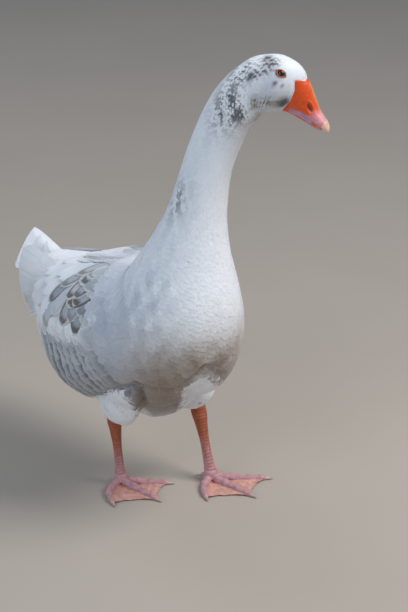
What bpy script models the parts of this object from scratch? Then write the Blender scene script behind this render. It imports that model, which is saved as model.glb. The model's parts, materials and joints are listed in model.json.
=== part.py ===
"""A domestic goose standing at ease, life size, as a still museum model.

Metres, +Z up. The goose faces -Y, so its own left is +X. The body is one surface drawn round
a spine from tail to bill, parted into torso, neck and head by flat cuts.
"""
import math

import bmesh
import bpy
import numpy as np

# Gap at a flat cut, the room that a piece cuts from its neighbour, and the body's facets
GAP = 0.0003
ROOM = 0.0005
AROUND = 32
TORSO_RINGS = 25
NECK_RINGS = 12
HEAD_RINGS = 17

# The head's frame: a point between the eyes (left, forward, up), its pitch and its yaw
BROW = (0.094, 0.190, 0.760)
HEAD_PITCH = math.radians(-35)
HEAD_YAW = math.radians(46)


def head_axes():
    """Unit vectors along the bill, up out of the crown, and to the head's left."""
    p, w = HEAD_PITCH, HEAD_YAW
    along = np.array([math.sin(w) * math.cos(p), -math.cos(w) * math.cos(p), math.sin(p)])
    side = np.array([math.cos(w), math.sin(w), 0.0])
    return along, np.cross(along, side), side


def head_point(along, rise, side=0.0):
    """A point given in the head's frame, in world coordinates."""
    a, n, s = head_axes()
    brow = np.array([BROW[0], -BROW[1], BROW[2]])
    return brow + a * along + n * rise + s * side


def head_station(name, along, rise, tilt, half_width, up, down):
    """A station of the spine that is placed in the head's frame."""
    x, y, z = head_point(along, rise)
    pitch = math.degrees(HEAD_PITCH) + tilt
    return (name, -y, z, x, pitch, math.degrees(HEAD_YAW), half_width, up, down, 2.0)


# The spine: name, forward, height, left, pitch and yaw of its axis in degrees, half width,
# reach above and below the axis, and the roundness of the section (2 is an ellipse)
STATIONS = (
    ("tail_root", -0.345, 0.312, 0.0, 4, 0, 0.034, 0.016, 0.024, 2.2),
    ("rump", -0.300, 0.300, 0.0, 4, 0, 0.072, 0.036, 0.060, 2.2),
    ("vent", -0.238, 0.286, 0.0, 4, 0, 0.104, 0.066, 0.098, 2.3),
    ("hips", -0.145, 0.286, 0.0, 12, 0, 0.125, 0.094, 0.136, 2.4),
    ("middle", -0.050, 0.302, 0.0, 20, 0, 0.130, 0.104, 0.130, 2.2),
    ("shoulder", 0.020, 0.326, 0.0, 32, 0, 0.123, 0.102, 0.124, 2.1),
    ("breast", 0.048, 0.366, 0.0, 46, 0, 0.105, 0.094, 0.120, 2.0),
    ("crop", 0.064, 0.416, 0.0, 60, 0, 0.083, 0.079, 0.094, 2.0),
    ("neck_base", 0.076, 0.474, 0.002, 72, 2, 0.059, 0.060, 0.064, 2.0),
    ("neck_low", 0.086, 0.536, 0.008, 80, 8, 0.043, 0.044, 0.047, 2.0),
    ("neck_mid", 0.098, 0.602, 0.017, 77, 20, 0.036, 0.038, 0.039, 2.0),
    ("neck_high", 0.113, 0.652, 0.030, 66, 36, 0.033, 0.039, 0.036, 2.0),
    head_station("nape", -0.027, -0.093, 77, 0.032, 0.040, 0.037),
    head_station("hind_head", -0.024, -0.067, 57, 0.032, 0.043, 0.042),
    head_station("back_head", -0.017, -0.046, 38, 0.033, 0.046, 0.046),
    head_station("crown", -0.004, -0.030, 20, 0.033, 0.045, 0.049),
    head_station("eye", 0.013, -0.021, 6, 0.029, 0.039, 0.048),
    head_station("lores", 0.024, -0.020, 2, 0.023, 0.035, 0.041),
    head_station("bill_base", 0.033, -0.020, 0, 0.0185, 0.0288, 0.0338),
)
STATION = {row[0]: index for index, row in enumerate(STATIONS)}

# Swellings and furrows of the body: station, degrees round from the top, height,
# spread in stations, spread in degrees
RELIEF = (
    (5.4, 180, -0.006, 1.3, 9),
    (5.4, 152, 0.003, 1.2, 16),
    (5.4, -152, 0.003, 1.2, 16),
    (3.1, 176, 0.012, 0.7, 34),
    (3.8, 176, 0.029, 0.6, 22),
    (2.9, 124, 0.013, 0.9, 26),
    (2.9, -124, 0.013, 0.9, 26),
    (15.6, 112, 0.0022, 0.9, 26),
    (15.6, -112, 0.0022, 0.9, 26),
    (15.42, 43, 0.0024, 0.50, 15),
    (15.42, -43, 0.0024, 0.50, 15),
)

# Eyes, in the head's frame
EYE_ALONG = -0.003
EYE_RISE = -0.0030
EYE_SIDE = 0.0219
EYE_TILT = math.radians(20)
EYE_RADIUS = 0.0078
LID_HALF_LENGTH = 0.0066
LID_HALF_HEIGHT = 0.0052
LID_RADIUS = 0.0015

# Bill sections: along, middle height, half width, reach up, reach down, height of the cutting edge
BILL = (
    (0.0333, -0.0200, 0.0182, 0.0284, 0.0333, -0.0405),
    (0.0450, -0.0235, 0.0165, 0.0256, 0.0254, -0.0385),
    (0.0550, -0.0270, 0.0150, 0.0220, 0.0208, -0.0360),
    (0.0650, -0.0295, 0.0140, 0.0178, 0.0170, -0.0353),
    (0.0750, -0.0315, 0.0135, 0.0131, 0.0134, -0.0358),
    (0.0850, -0.0330, 0.0126, 0.0106, 0.0108, -0.0360),
    (0.0940, -0.0340, 0.0113, 0.0082, 0.0084, -0.0362),
    (0.1010, -0.0358, 0.0086, 0.0062, 0.0072, -0.0400),
    (0.1056, -0.0385, 0.0045, 0.0035, 0.0045, -0.0424),
)
NAIL_START = 0.0925
LOWER_TIP = 0.0955
LOWER_ROUND = 0.0740
LIP_DROP = 0.0062
LIP_INSET = 0.0011
LIP_STEP = 0.0004
PALATE_WIDTH, PALATE_RISE = 0.6, 0.0008
NOSTRIL_ALONG, NOSTRIL_RISE, NOSTRIL_SIDE = 0.0610, -0.0210, 0.0138
NOSTRIL_SIZE = (0.0068, 0.0040, 0.0024)
NOSTRIL_SLOPE = math.radians(-33)

# The folded wing's edge over the body: station, degrees round of its upper and lower edge,
# and how far it stands off the body there
WING_EDGE = (
    (5.15, 54, 80, 0.0030),
    (4.80, 30, 91, 0.0080),
    (4.00, 16, 95, 0.0100),
    (3.00, 9, 96, 0.0080),
    (2.00, 9, 92, 0.0048),
    (1.30, 18, 86, 0.0030),
)
WING_SINK = 0.004

# Feather tiers of the wing from the shoulder back: how many, stations of their roots and tips,
# degrees round of the first and last at root and tip, width, and lift of the tips
WING_TIERS = (
    (5, 4.98, 4.30, (39, 80), (35, 82), 0.036, 0.0046),
    (5, 4.60, 3.76, (29, 83), (26, 85), 0.041, 0.0042),
    (5, 4.12, 3.12, (24, 86), (21, 88), 0.044, 0.0038),
    (5, 3.50, 1.95, (21, 84), (20, 82), 0.044, 0.0028),
)
# Primaries: station and degrees round of the root; left, forward and up of the tip, right wing
PRIMARIES = (
    (2.10, 36, (0.040, -0.398, 0.3240)),
    (2.08, 49, (0.052, -0.386, 0.3080)),
    (2.06, 62, (0.064, -0.362, 0.2890)),
    (2.04, 75, (0.075, -0.328, 0.2680)),
    (2.45, 88, (0.083, -0.292, 0.2500)),
)
PRIMARY_WIDTH = 0.030
PRIMARY_BOW = 0.48
PRIMARY_FACE = (0.8, 0.1, 0.6)
ROOT_SINK = 0.0014
VANE_THICKNESS = 0.0010
VANE_THINNING = 0.45
VANE_ROLL = 0.08
VANE_CLEARANCE = 0.0026
# The wing's edges stand this much less off the body than its middle
WING_FALL = 0.5

# Tail: length of its stub, then forward, height and half width of the fan at its root and tips
TAIL_STUB = 0.036
TAIL_STUB_RISE = 0.010
# Sections of the stub: share of its length, and of the torso's width and depth there
TAIL_STUB_SECTIONS = ((0.0, 1.0, 1.0), (0.4, 0.97, 0.72), (0.8, 0.80, 0.42), (1.0, 0.60, 0.24))
TAIL_ROOT = (-0.340, 0.322, 0.018)
TAIL_TIPS = (-0.428, 0.346, 0.047)
TAIL_ROOF = 0.044
TAIL_SWEEP = 0.015
TAIL_FEATHERS = 9
TAIL_FEATHER_WIDTH = 0.024
TAIL_TIER_DROP = 0.006
RIDGE_BEND = 0.7
# Rows of covert feathers over and under the fan: how many, shares of the fan at root and tip,
# spread across it, width, and how far they stand above it or hang below it at root and tip
TAIL_COVERTS = (
    (3, 0.12, 0.62, 0.62, 0.026, 0.0020, 0.0060),
    (3, 0.12, 0.54, 0.55, 0.026, -0.0085, -0.0115),
)

# Feathered thighs: left, forward, up, and the three radii
THIGHS = {
    "right": ((-0.038, -0.070, 0.183), (0.046, 0.062, 0.062)),
    "left": ((0.077, -0.050, 0.190), (0.041, 0.055, 0.062)),
}

# Shanks: left and forward of the hock and of the ankle, height of the hock, and thickness
HOCK_TOP = 0.138
ANKLE_TOP = 0.022
SHANKS = {
    "right": {"hock": (-0.039, -0.102), "ankle": (-0.035, -0.086), "scale": 0.97},
    "left": {"hock": (0.096, -0.058), "ankle": (0.098, -0.015), "scale": 1.06},
}
# Share of the way down, half width, half depth
SHANK_SECTIONS = (
    (0.00, 0.0118, 0.0125),
    (0.20, 0.0120, 0.0130),
    (0.32, 0.0098, 0.0112),
    (0.60, 0.0068, 0.0088),
    (0.84, 0.0078, 0.0094),
    (1.00, 0.0108, 0.0112),
)

# Toes: length, degrees to the left of straight ahead, and how far they bow to the left
TOES = {
    "right": {"inner": (0.090, 57, 0.0), "middle": (0.097, 13, 0.0), "outer": (0.086, -41, -0.013)},
    "left": {"inner": (0.078, -40, -0.008), "middle": (0.100, 16, 0.0), "outer": (0.104, 60, 0.0)},
}
TOE_ROOT_RADIUS = 0.0074
TOE_TIP_RADIUS = 0.0040
TOE_KNUCKLES = (0.36, 0.64, 0.88)
KNUCKLE_SWELL, KNUCKLE_SPREAD = 0.0007, 0.07
# Height of a toe's middle in its radii at the tip, and what the root adds
TOE_SEAT, TOE_ARCH = 0.82, 0.75
WEB_THICKNESS = 0.0018
WEB_START, WEB_REACH, WEB_NOTCH = 0.12, 0.97, 0.08
# Height of the web in that of its toes, and how much lower its middle is
WEB_HEIGHT, WEB_SAG = 0.75, 0.35
ANKLE_SECTIONS = ((0.0, 1.0), (0.006, 1.05), (0.015, 1.0), (ANKLE_TOP - GAP, 0.85))
HIND_TOE_LENGTH = 0.016
HIND_TOE_HEIGHTS = (0.0150, 0.0065)
HIND_TOE_RADII = (0.0048, 0.0034)
HIND_TOE_INWARD = 0.25
CLAW_LENGTH = 0.011

COLOURS = {
    "torso": (0.60, 0.59, 0.58), "neck": (0.80, 0.80, 0.82), "head": (0.80, 0.80, 0.82),
    "wing": (0.45, 0.46, 0.50), "tail": (0.86, 0.87, 0.90), "thigh": (0.82, 0.80, 0.78),
    "bill": (0.78, 0.16, 0.02), "nail": (0.80, 0.52, 0.42), "eye": (0.02, 0.02, 0.03),
    "shank": (0.55, 0.20, 0.09), "foot": (0.70, 0.27, 0.18), "claw": (0.70, 0.58, 0.52),
}
GLOSS = {"bill": 0.35, "nail": 0.4, "eye": 0.05, "shank": 0.5, "foot": 0.5, "claw": 0.4}


def smooth(at, values, t):
    """Monotone cubic curve through values given at rising places."""
    at, values = np.asarray(at, float), np.asarray(values, float)
    t = np.clip(np.atleast_1d(np.asarray(t, float)), at[0], at[-1])
    step = np.diff(at)
    slope = np.diff(values) / step
    knot = np.concatenate([slope[:1], np.zeros(len(at) - 2), slope[-1:]])
    rising = np.flatnonzero(slope[:-1] * slope[1:] > 0)
    one, two = 2 * step[rising + 1] + step[rising], step[rising + 1] + 2 * step[rising]
    knot[rising + 1] = (one + two) / (one / slope[rising] + two / slope[rising + 1])
    k = np.clip(np.searchsorted(at, t, side="right") - 1, 0, len(at) - 2)
    u = (t - at[k]) / step[k]
    ends = (1 + 2 * u) * (1 - u) ** 2 * values[k] + u * u * (3 - 2 * u) * values[k + 1]
    return ends + step[k] * u * (1 - u) * ((1 - u) * knot[k] - u * knot[k + 1])


def body_point(s, phi):
    """Points of the body at s stations from the tail and phi round from the top to the left.

    A section is a superellipse about the spine, in the plane square to the spine's axis, and
    the swellings push its points out in that plane."""
    s, phi = np.broadcast_arrays(np.asarray(s, float), np.asarray(phi, float))
    shape, s, phi = s.shape, s.ravel(), phi.ravel()
    rows = np.array([row[1:] for row in STATIONS])
    at = np.arange(len(STATIONS))
    forward, z, x, pitch, yaw, half, up, down, power = (smooth(at, column, s) for column in rows.T)
    p, w = np.radians(pitch), np.radians(yaw)
    axis = np.stack([np.sin(w) * np.cos(p), -np.cos(w) * np.cos(p), np.sin(p)], 1)
    left = np.stack([np.cos(w), np.sin(w), 0 * w], 1)
    top = np.cross(axis, left)
    c, q = np.cos(phi), np.sin(phi)
    rise = np.where(c > 0, up, down) * np.sign(c) * np.abs(c) ** (2 / power)
    out = half * np.sign(q) * np.abs(q) ** (2 / power)
    radius = left * out[:, None] + top * rise[:, None]
    swell = np.zeros(len(s))
    for station, degrees, height, along, around in RELIEF:
        turn = (np.degrees(phi) - degrees + 180) % 360 - 180
        swell += height * np.exp(-((s - station) / along) ** 2 - (turn / around) ** 2)
    reach = np.linalg.norm(radius, axis=1)
    points = np.stack([x, -forward, z], 1) + radius * (1 + swell / reach)[:, None]
    return points.reshape(shape + (3,))


def body_normal(s, phi):
    """Outward normals of the body, from the slopes of its surface both ways."""
    step = 0.01
    along = body_point(s + step, phi) - body_point(s - step, phi)
    around = body_point(s, phi + step) - body_point(s, phi - step)
    normal = np.cross(along, around)
    return normal / np.linalg.norm(normal, axis=-1, keepdims=True)


def body_axis(s):
    """The direction of the spine at s, towards the head."""
    rows = np.array([row[1:] for row in STATIONS])
    at = np.arange(len(STATIONS))
    p = math.radians(smooth(at, rows[:, 3], s)[0])
    w = math.radians(smooth(at, rows[:, 4], s)[0])
    return np.array([math.sin(w) * math.cos(p), -math.cos(w) * math.cos(p), math.sin(p)])


def new_object(name, points, faces):
    """A mesh object of triangles from points and faces, its faces turned outwards."""
    mesh = bpy.data.meshes.new(name)
    mesh.from_pydata([tuple(p) for p in points], [], faces)
    shape = bmesh.new()
    shape.from_mesh(mesh)
    bmesh.ops.recalc_face_normals(shape, faces=shape.faces)
    bmesh.ops.triangulate(shape, faces=shape.faces)
    shape.to_mesh(mesh)
    shape.free()
    obj = bpy.data.objects.new(name, mesh)
    PARTS.objects.link(obj)
    return obj


def loft(name, rings, closed_ring=False):
    """A closed solid through rings of points, with flat ends or joined into a ring."""
    rings = np.asarray(rings)
    count, around = rings.shape[:2]
    faces = []
    for i in range(count if closed_ring else count - 1):
        a, b = i * around, (i + 1) % count * around
        for j in range(around):
            k = (j + 1) % around
            faces.append((a + j, a + k, b + k, b + j))
    if not closed_ring:
        faces.append(tuple(range(around)))
        faces.append(tuple(range((count - 1) * around, count * around)))
    return new_object(name, rings.reshape(-1, 3), faces)


def slab(name, upper, lower):
    """A thin closed solid between two grids, split into triangles alike on both faces."""
    rows, columns = upper.shape[:2]
    count = rows * columns
    grid = np.arange(count).reshape(rows, columns)
    a, b, c, d = (g.ravel() for g in (grid[:-1, :-1], grid[:-1, 1:], grid[1:, 1:], grid[1:, :-1]))
    face = np.concatenate([np.stack([a, b, c], 1), np.stack([a, c, d], 1)])
    rim = np.concatenate([grid[0, :-1], grid[:-1, -1], grid[-1, :0:-1], grid[:0:-1, 0]])
    after = np.roll(rim, -1)
    wall = np.concatenate([np.stack([rim, rim + count, after], 1),
                           np.stack([after, rim + count, after + count], 1)])
    faces = np.concatenate([face, face[:, ::-1] + count, wall])
    points = np.concatenate([upper.reshape(-1, 3), lower.reshape(-1, 3)])
    return new_object(name, points, faces.tolist())


def ball(name, centre, radii, turn=None, segments=20, rings=12):
    """An ellipsoid at a place, with its axes turned by a 3 x 3 matrix."""
    shape = bmesh.new()
    bmesh.ops.create_uvsphere(shape, u_segments=segments, v_segments=rings, radius=1.0)
    unit = np.array([v.co[:] for v in shape.verts])
    placed = (unit * radii) @ (np.eye(3) if turn is None else turn) + centre
    for vertex, place in zip(shape.verts, placed):
        vertex.co = place
    bmesh.ops.recalc_face_normals(shape, faces=shape.faces)
    mesh = bpy.data.meshes.new(name)
    shape.to_mesh(mesh)
    shape.free()
    obj = bpy.data.objects.new(name, mesh)
    PARTS.objects.link(obj)
    return obj


def swollen_copy(obj, margin):
    """A copy of a solid with its surface moved out by the margin."""
    mesh = obj.data.copy()
    for vertex, normal in zip(mesh.vertices, [n.vector.copy() for n in mesh.vertex_normals]):
        vertex.co = vertex.co + normal * margin
    copy = bpy.data.objects.new(obj.name + "_room", mesh)
    PARTS.objects.link(copy)
    return copy


def boolean(obj, others, operation):
    """Joins or cuts a solid by the others, applied at once, and removes the others."""
    for other in others:
        PARTS.objects.unlink(other)
        CUTTERS.objects.link(other)
        other.hide_render = True
        other.display_type = "WIRE"
    modifier = obj.modifiers.new(operation.lower(), "BOOLEAN")
    modifier.operation = operation
    modifier.operand_type = "COLLECTION"
    modifier.collection = CUTTERS
    modifier.solver = "MANIFOLD"
    bpy.context.view_layer.update()
    evaluated = obj.evaluated_get(bpy.context.evaluated_depsgraph_get())
    mesh = bpy.data.meshes.new_from_object(evaluated)
    obj.modifiers.clear()
    obj.data = mesh
    for other in others:
        bpy.data.objects.remove(other)
    keep_largest(obj)


def keep_largest(obj):
    """Drops every closed surface of a mesh but the one with the most faces."""
    shape = bmesh.new()
    shape.from_mesh(obj.data)
    unseen, pieces = set(shape.faces), []
    while unseen:
        piece, front = set(), [unseen.pop()]
        while front:
            face = front.pop()
            piece.add(face)
            near = {other for edge in face.edges for other in edge.link_faces}
            front.extend(near & unseen)
            unseen -= near
        pieces.append(piece)
    pieces.sort(key=len)
    for piece in pieces[:-1]:
        bmesh.ops.delete(shape, geom=list(piece), context="FACES")
    loose = [v for v in shape.verts if not v.link_faces]
    bmesh.ops.delete(shape, geom=loose, context="VERTS")
    shape.to_mesh(obj.data)
    shape.free()


def finish(obj, kind):
    """Gives a part its material and smooth shading."""
    name = obj.name + "_surface"
    material = bpy.data.materials.new(name)
    material.use_nodes = True
    shader = material.node_tree.nodes["Principled BSDF"]
    shader.inputs["Base Color"].default_value = (*COLOURS[kind], 1.0)
    shader.inputs["Roughness"].default_value = GLOSS.get(kind, 0.85)
    shader.inputs["Metallic"].default_value = 0.0
    material.diffuse_color = (*COLOURS[kind], 1.0)
    obj.data.materials.clear()
    obj.data.materials.append(material)
    obj.data.shade_smooth()
    obj.data.set_sharp_from_angle(angle=math.radians(40))
    return obj


def body_length(name, first, last, rings):
    """A length of the body between two stations, its first ring set off by the gap."""
    s = np.linspace(STATION[first], STATION[last], rings)
    phi = np.linspace(0, 2 * math.pi, AROUND, endpoint=False)
    points = body_point(s[:, None], phi[None, :])
    if first != "tail_root":
        points[0] += body_axis(s[0]) * GAP
    return loft(name, points)


def lid(name, side):
    """The ring of lids: a tube round an oval that lies on the eyeball."""
    turn = np.linspace(0, 2 * math.pi, 14, endpoint=False)
    tube = np.linspace(0, 2 * math.pi, 5, endpoint=False)
    u, v = LID_HALF_LENGTH * np.cos(turn), LID_HALF_HEIGHT * np.sin(turn)
    depth = np.sqrt((EYE_RADIUS + 0.0004) ** 2 - u ** 2 - v ** 2)
    spread = (1 + LID_RADIUS * np.outer(1 / np.hypot(u, v), np.cos(tube)))
    lift = depth[:, None] + LID_RADIUS * np.sin(tube)[None, :]
    a, n, s = head_axes()
    outward = side * s * math.cos(EYE_TILT) + n * math.sin(EYE_TILT)
    upward = n * math.cos(EYE_TILT) - side * s * math.sin(EYE_TILT)
    centre = head_point(EYE_ALONG, EYE_RISE, side * EYE_SIDE)
    points = (centre + (u[:, None] * spread)[..., None] * a
              + (v[:, None] * spread)[..., None] * upward + lift[..., None] * outward)
    return loft(name, points, closed_ring=True)


def make_head():
    """The head with its lids and with a hollow for each eye."""
    head = body_length("head", "nape", "bill_base", HEAD_RINGS)
    boolean(head, [lid("lid", side) for side in (-1, 1)], "UNION")
    eyes = []
    for side, name in ((-1, "right"), (1, "left")):
        centre = head_point(EYE_ALONG, EYE_RISE, side * EYE_SIDE)
        boolean(head, [ball("hollow", centre, [EYE_RADIUS + GAP] * 3, None, 14, 10)], "DIFFERENCE")
        eyes.append(finish(ball(f"eye_{name}", centre, [EYE_RADIUS] * 3, None, 14, 10), "eye"))
    return [finish(head, "head")] + eyes


def bill_values(along):
    """Middle height, half width, reach up and down, and cutting edge at places along the bill."""
    rows = np.array(BILL).T
    return [smooth(rows[0], column, along) for column in rows[1:]]


def bill_rings(along, edge_shift, part):
    """Sections of the bill above its cutting edge, or below it.

    Each is an ellipse cut off at the edge. The lower one has an upright lip, inside the upper."""
    middle, half, up, down, edge = bill_values(along)
    edge = edge + edge_shift
    rings = []
    for m, h, u, d, e, a in zip(middle, half, up, down, edge, along):
        sink = min(max((m - e) / d, -0.95), 0.95)
        corner = math.asin(sink)
        if part == "upper":
            turn = np.linspace(-corner, math.pi + corner, 15)
            side, rise = h * np.cos(turn), np.where(np.sin(turn) > 0, u, d) * np.sin(turn) + m
            side = np.concatenate([side, side[[-1, 0]] * PALATE_WIDTH])
            rise = np.concatenate([rise, [e + PALATE_RISE] * 2])
        else:
            h *= math.sqrt(1 - 0.7 * max((a - LOWER_ROUND) / (LOWER_TIP - LOWER_ROUND), 0) ** 2)
            wall = h * math.cos(corner) - LIP_INSET
            lip = math.asin(min(max((m - e + LIP_DROP) / d, 0.05), 0.93))
            turn = np.linspace(lip, math.pi - lip, 11)
            side = (wall + LIP_STEP) * np.cos(turn) / math.cos(lip)
            rise = m - d * np.sin(turn)
            side = np.concatenate([[wall, wall], side, [-wall, -wall]])
            rise = np.concatenate([[e, rise[0] + LIP_STEP], rise, [rise[-1] + LIP_STEP, e]])
        rings.append([head_point(a, r, s) for s, r in zip(side, rise)])
    return rings


def make_bill():
    """Upper bill with nostrils, its nail, and the lower bill."""
    upper = loft("bill_upper", bill_rings(np.linspace(BILL[0][0], NAIL_START, 12), 0.0, "upper"))
    a, n, s = head_axes()
    c, q = math.cos(NOSTRIL_SLOPE), math.sin(NOSTRIL_SLOPE)
    turn = np.array([a * c + n * q, s, n * c - a * q])
    holes = [ball("hole", head_point(NOSTRIL_ALONG, NOSTRIL_RISE, side * NOSTRIL_SIDE),
                  NOSTRIL_SIZE, turn, 12, 8) for side in (-1, 1)]
    boolean(upper, holes, "DIFFERENCE")
    nail = loft("bill_nail", bill_rings(np.linspace(NAIL_START + GAP, BILL[-1][0], 6), 0.0, "upper"))
    lower = loft("bill_lower", bill_rings(np.linspace(BILL[0][0], LOWER_TIP, 10), -GAP * 2, "lower"))
    return [finish(upper, "bill"), finish(nail, "nail"), finish(lower, "bill")]


def wing_height(s, degrees):
    """How far the wing stands off the body at a station and degrees round from the top."""
    rows = np.array(WING_EDGE[::-1]).T
    top, low, stand = (smooth(rows[0], row, s) for row in rows[1:])
    share = np.clip((degrees - top) / (low - top), 0, 1)
    return stand * (1 - WING_FALL * np.abs(2 * share - 1) ** 4)


def over_body(side, s, degrees, height):
    """Points at a height over the body, and the body's normals there."""
    phi = side * np.radians(degrees)
    normal = body_normal(s, phi)
    return body_point(s, phi) + normal * np.asarray(height)[..., None], normal


def vane_outline(length_rows, width):
    """Shares along a vane from its root, and half its width there.

    The half width is a root of 1 - t^4, drawn in to a third at the root."""
    share = 1 - (1 - np.linspace(0, 1, length_rows)) ** 1.4
    half = width / 2 * np.sqrt(1 - (0.97 * share) ** 4) * np.minimum(0.33 + 1.8 * share, 1)
    return share, half


def vane_slab(upper, normals):
    """A vane from its upper face: thickest along the shaft, about half that at its edges."""
    thick = VANE_THICKNESS * (1 - VANE_THINNING * np.linspace(-1, 1, upper.shape[1]) ** 2)
    return slab("vane", upper, upper - normals * thick[None, :, None])


def body_vane(side, root, tip, width, lift, rows):
    """A vane that follows the body from root to tip, each a station and degrees round.

    Its root is sunk in the wing; its tip and its edge away from the back stand up, over the
    next ones."""
    share, half = vane_outline(rows, width)
    s = (root[0] + (tip[0] - root[0]) * share)[:, None]
    degrees = (root[1] + (tip[1] - root[1]) * share)[:, None]
    per_degree = np.linalg.norm(body_point(s, side * np.radians(degrees + 0.5))
                                - body_point(s, side * np.radians(degrees - 0.5)), axis=-1)
    out = half[:, None] * np.array([-1.0, 0.0, 1.0])
    height = wing_height(s.ravel(), degrees.ravel())[:, None] - ROOT_SINK + VANE_ROLL * out
    height = np.maximum(height + (lift + ROOT_SINK) * share[:, None] ** 0.8, VANE_CLEARANCE)
    upper, normals = over_body(side, s + 0 * out, degrees + out / per_degree, height)
    return vane_slab(upper, normals)


def free_vane(path, normals, width, roll, bend, rows):
    """A vane along a path in the air, with its normals, rolled to one side or bent over both."""
    t = np.linspace(0, 1, len(path))
    share, half = vane_outline(rows, width)
    path = np.stack([np.interp(share, t, path[:, k]) for k in range(3)], 1)
    normals = np.stack([np.interp(share, t, normals[:, k]) for k in range(3)], 1)
    normals /= np.linalg.norm(normals, axis=1, keepdims=True)
    across = np.cross(np.gradient(path, axis=0), normals)
    across /= np.linalg.norm(across, axis=1, keepdims=True)
    out = half[:, None] * np.array([-1.0, 0.0, 1.0])
    lift = roll * out - bend * np.abs(out)
    upper = path[:, None] + across[:, None] * out[..., None] + normals[:, None] * lift[..., None]
    return vane_slab(upper, normals[:, None] + 0 * upper)


def wing_feathers(side):
    """Every vane of one wing, in tiers from the shoulder to the primaries.

    A primary is a curve of the second degree from its root, along the body, to its tip."""
    vanes = []
    for count, root, tip, root_turn, tip_turn, width, lift in WING_TIERS:
        for at_root, at_tip in zip(np.linspace(*root_turn, count), np.linspace(*tip_turn, count)):
            rows = 5 if root - tip > 1.2 else 4
            vanes.append(body_vane(side, (root, at_root), (tip, at_tip), width, lift, rows))
    t = np.linspace(0, 1, 9)[:, None]
    for s, degrees, (left, forward, up) in PRIMARIES:
        at, normal = over_body(side, np.array([s, s - PRIMARY_BOW]), np.full(2, degrees),
                               wing_height(s, degrees) - ROOT_SINK)
        tip = np.array([side * left, -forward, up])
        path = (1 - t) ** 2 * at[0] + 2 * t * (1 - t) * at[1] + t ** 2 * tip
        normals = normal[0] + (np.array(PRIMARY_FACE) * [side, 1, 1] - normal[0]) * t
        vanes.append(free_vane(path, normals, PRIMARY_WIDTH, side * VANE_ROLL, 0.0, 5))
    return vanes


def make_wing(side, name, torso, tail):
    """The folded wing over the flank, with its tiers of feathers."""
    s = np.linspace(WING_EDGE[-1][0], WING_EDGE[0][0], 10)[:, None]
    rows = np.array(WING_EDGE[::-1]).T
    top, low = (smooth(rows[0], row, s[:, 0])[:, None] for row in rows[1:3])
    degrees = top + (low - top) * np.linspace(0, 1, 6)
    s = s + 0 * degrees
    height = wing_height(s.ravel(), degrees.ravel()).reshape(s.shape)
    wing = slab(f"wing_{name}", over_body(side, s, degrees, height)[0],
                over_body(side, s, degrees, 0 * s - WING_SINK)[0])
    boolean(wing, wing_feathers(side), "UNION")
    boolean(wing, [swollen_copy(torso, ROOM), swollen_copy(tail, ROOM)], "DIFFERENCE")
    return finish(wing, "wing")


def tail_point(share, across, lift=0.0):
    """A point of the tail's fan: share of the way to the tips, and -1 to 1 from right to left.

    The fan is a roof: its middle is highest, and its sides fall away more towards the tips."""
    forward, height, half = (a + (b - a) * share for a, b in zip(TAIL_ROOT, TAIL_TIPS))
    side = np.abs(across)
    fall = TAIL_ROOF * side ** 1.3 * (0.25 + 0.75 * share)
    back = -forward - TAIL_SWEEP * side ** 1.5 * share
    return np.stack([half * across, back, height - fall + lift], -1)


def make_tail():
    """The tail's stub and its fan of feathers, from the torso's last section."""
    phi = np.linspace(0, 2 * math.pi, AROUND // 2, endpoint=False)
    ring = body_point(0 * phi, phi)
    axis = body_axis(0.0)
    centre = ring.mean(axis=0)
    rings = []
    for share, wide, deep in TAIL_STUB_SECTIONS:
        sized = centre + (ring - centre) * [wide, 1.0, deep]
        rings.append(sized - axis * (GAP + TAIL_STUB * share) + [0, 0, TAIL_STUB_RISE * share ** 2])
    tail = loft("tail", rings)
    t = np.linspace(0, 1, 9)
    rows = [(TAIL_FEATHERS, 0.12, 1.0, 1.0, TAIL_FEATHER_WIDTH, 0.0, 0.0), *TAIL_COVERTS]
    vanes = []
    for count, root, tip, spread, width, root_lift, tip_lift in rows:
        for across in np.linspace(-spread, spread, count):
            share, lift = root + (tip - root) * t, root_lift + (tip_lift - root_lift) * t
            path = tail_point(share, across * (0.6 + 0.4 * t), lift - TAIL_TIER_DROP * abs(across))
            lean = tail_point(share, across + 0.05) - tail_point(share, across - 0.05)
            normals = np.cross(lean, [0, 1.0, 0])
            bend = RIDGE_BEND if abs(across) < spread / count else 0.0
            vanes.append(free_vane(path, normals, width, 0.0, bend, 4))
    boolean(tail, vanes, "UNION")
    return finish(tail, "tail")


def shank_rings(leg, grow=0.0):
    """Oval sections down the shank, flat at the ankle."""
    hock = np.array([leg["hock"][0], -leg["hock"][1], HOCK_TOP])
    ankle = np.array([leg["ankle"][0], -leg["ankle"][1], ANKLE_TOP + GAP])
    share = np.linspace(0, 1, 13)
    rows = np.array(SHANK_SECTIONS).T
    wide = smooth(rows[0], rows[1], share) * leg["scale"] + grow
    deep = smooth(rows[0], rows[2], share) * leg["scale"] + grow
    turn = np.linspace(0, 2 * math.pi, 14, endpoint=False)
    centre = hock + (ankle - hock) * share[:, None]
    ring = np.stack([wide[:, None] * np.cos(turn), deep[:, None] * np.sin(turn),
                     0 * wide[:, None] * turn], -1)
    return centre[:, None, :] + ring


def make_leg(name, torso):
    """Thigh, shank, foot and claws of one leg."""
    place, radii = THIGHS[name]
    leg = SHANKS[name]
    thigh = ball(f"thigh_{name}", (place[0], -place[1], place[2]), radii)
    room = loft("room", shank_rings(leg, ROOM) + np.array([0, 0, ROOM]))
    boolean(thigh, [swollen_copy(torso, ROOM), room], "DIFFERENCE")
    shank = loft(f"shank_{name}", shank_rings(leg))
    return [finish(thigh, "thigh"), finish(shank, "shank")] + make_foot(name, leg)


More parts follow.
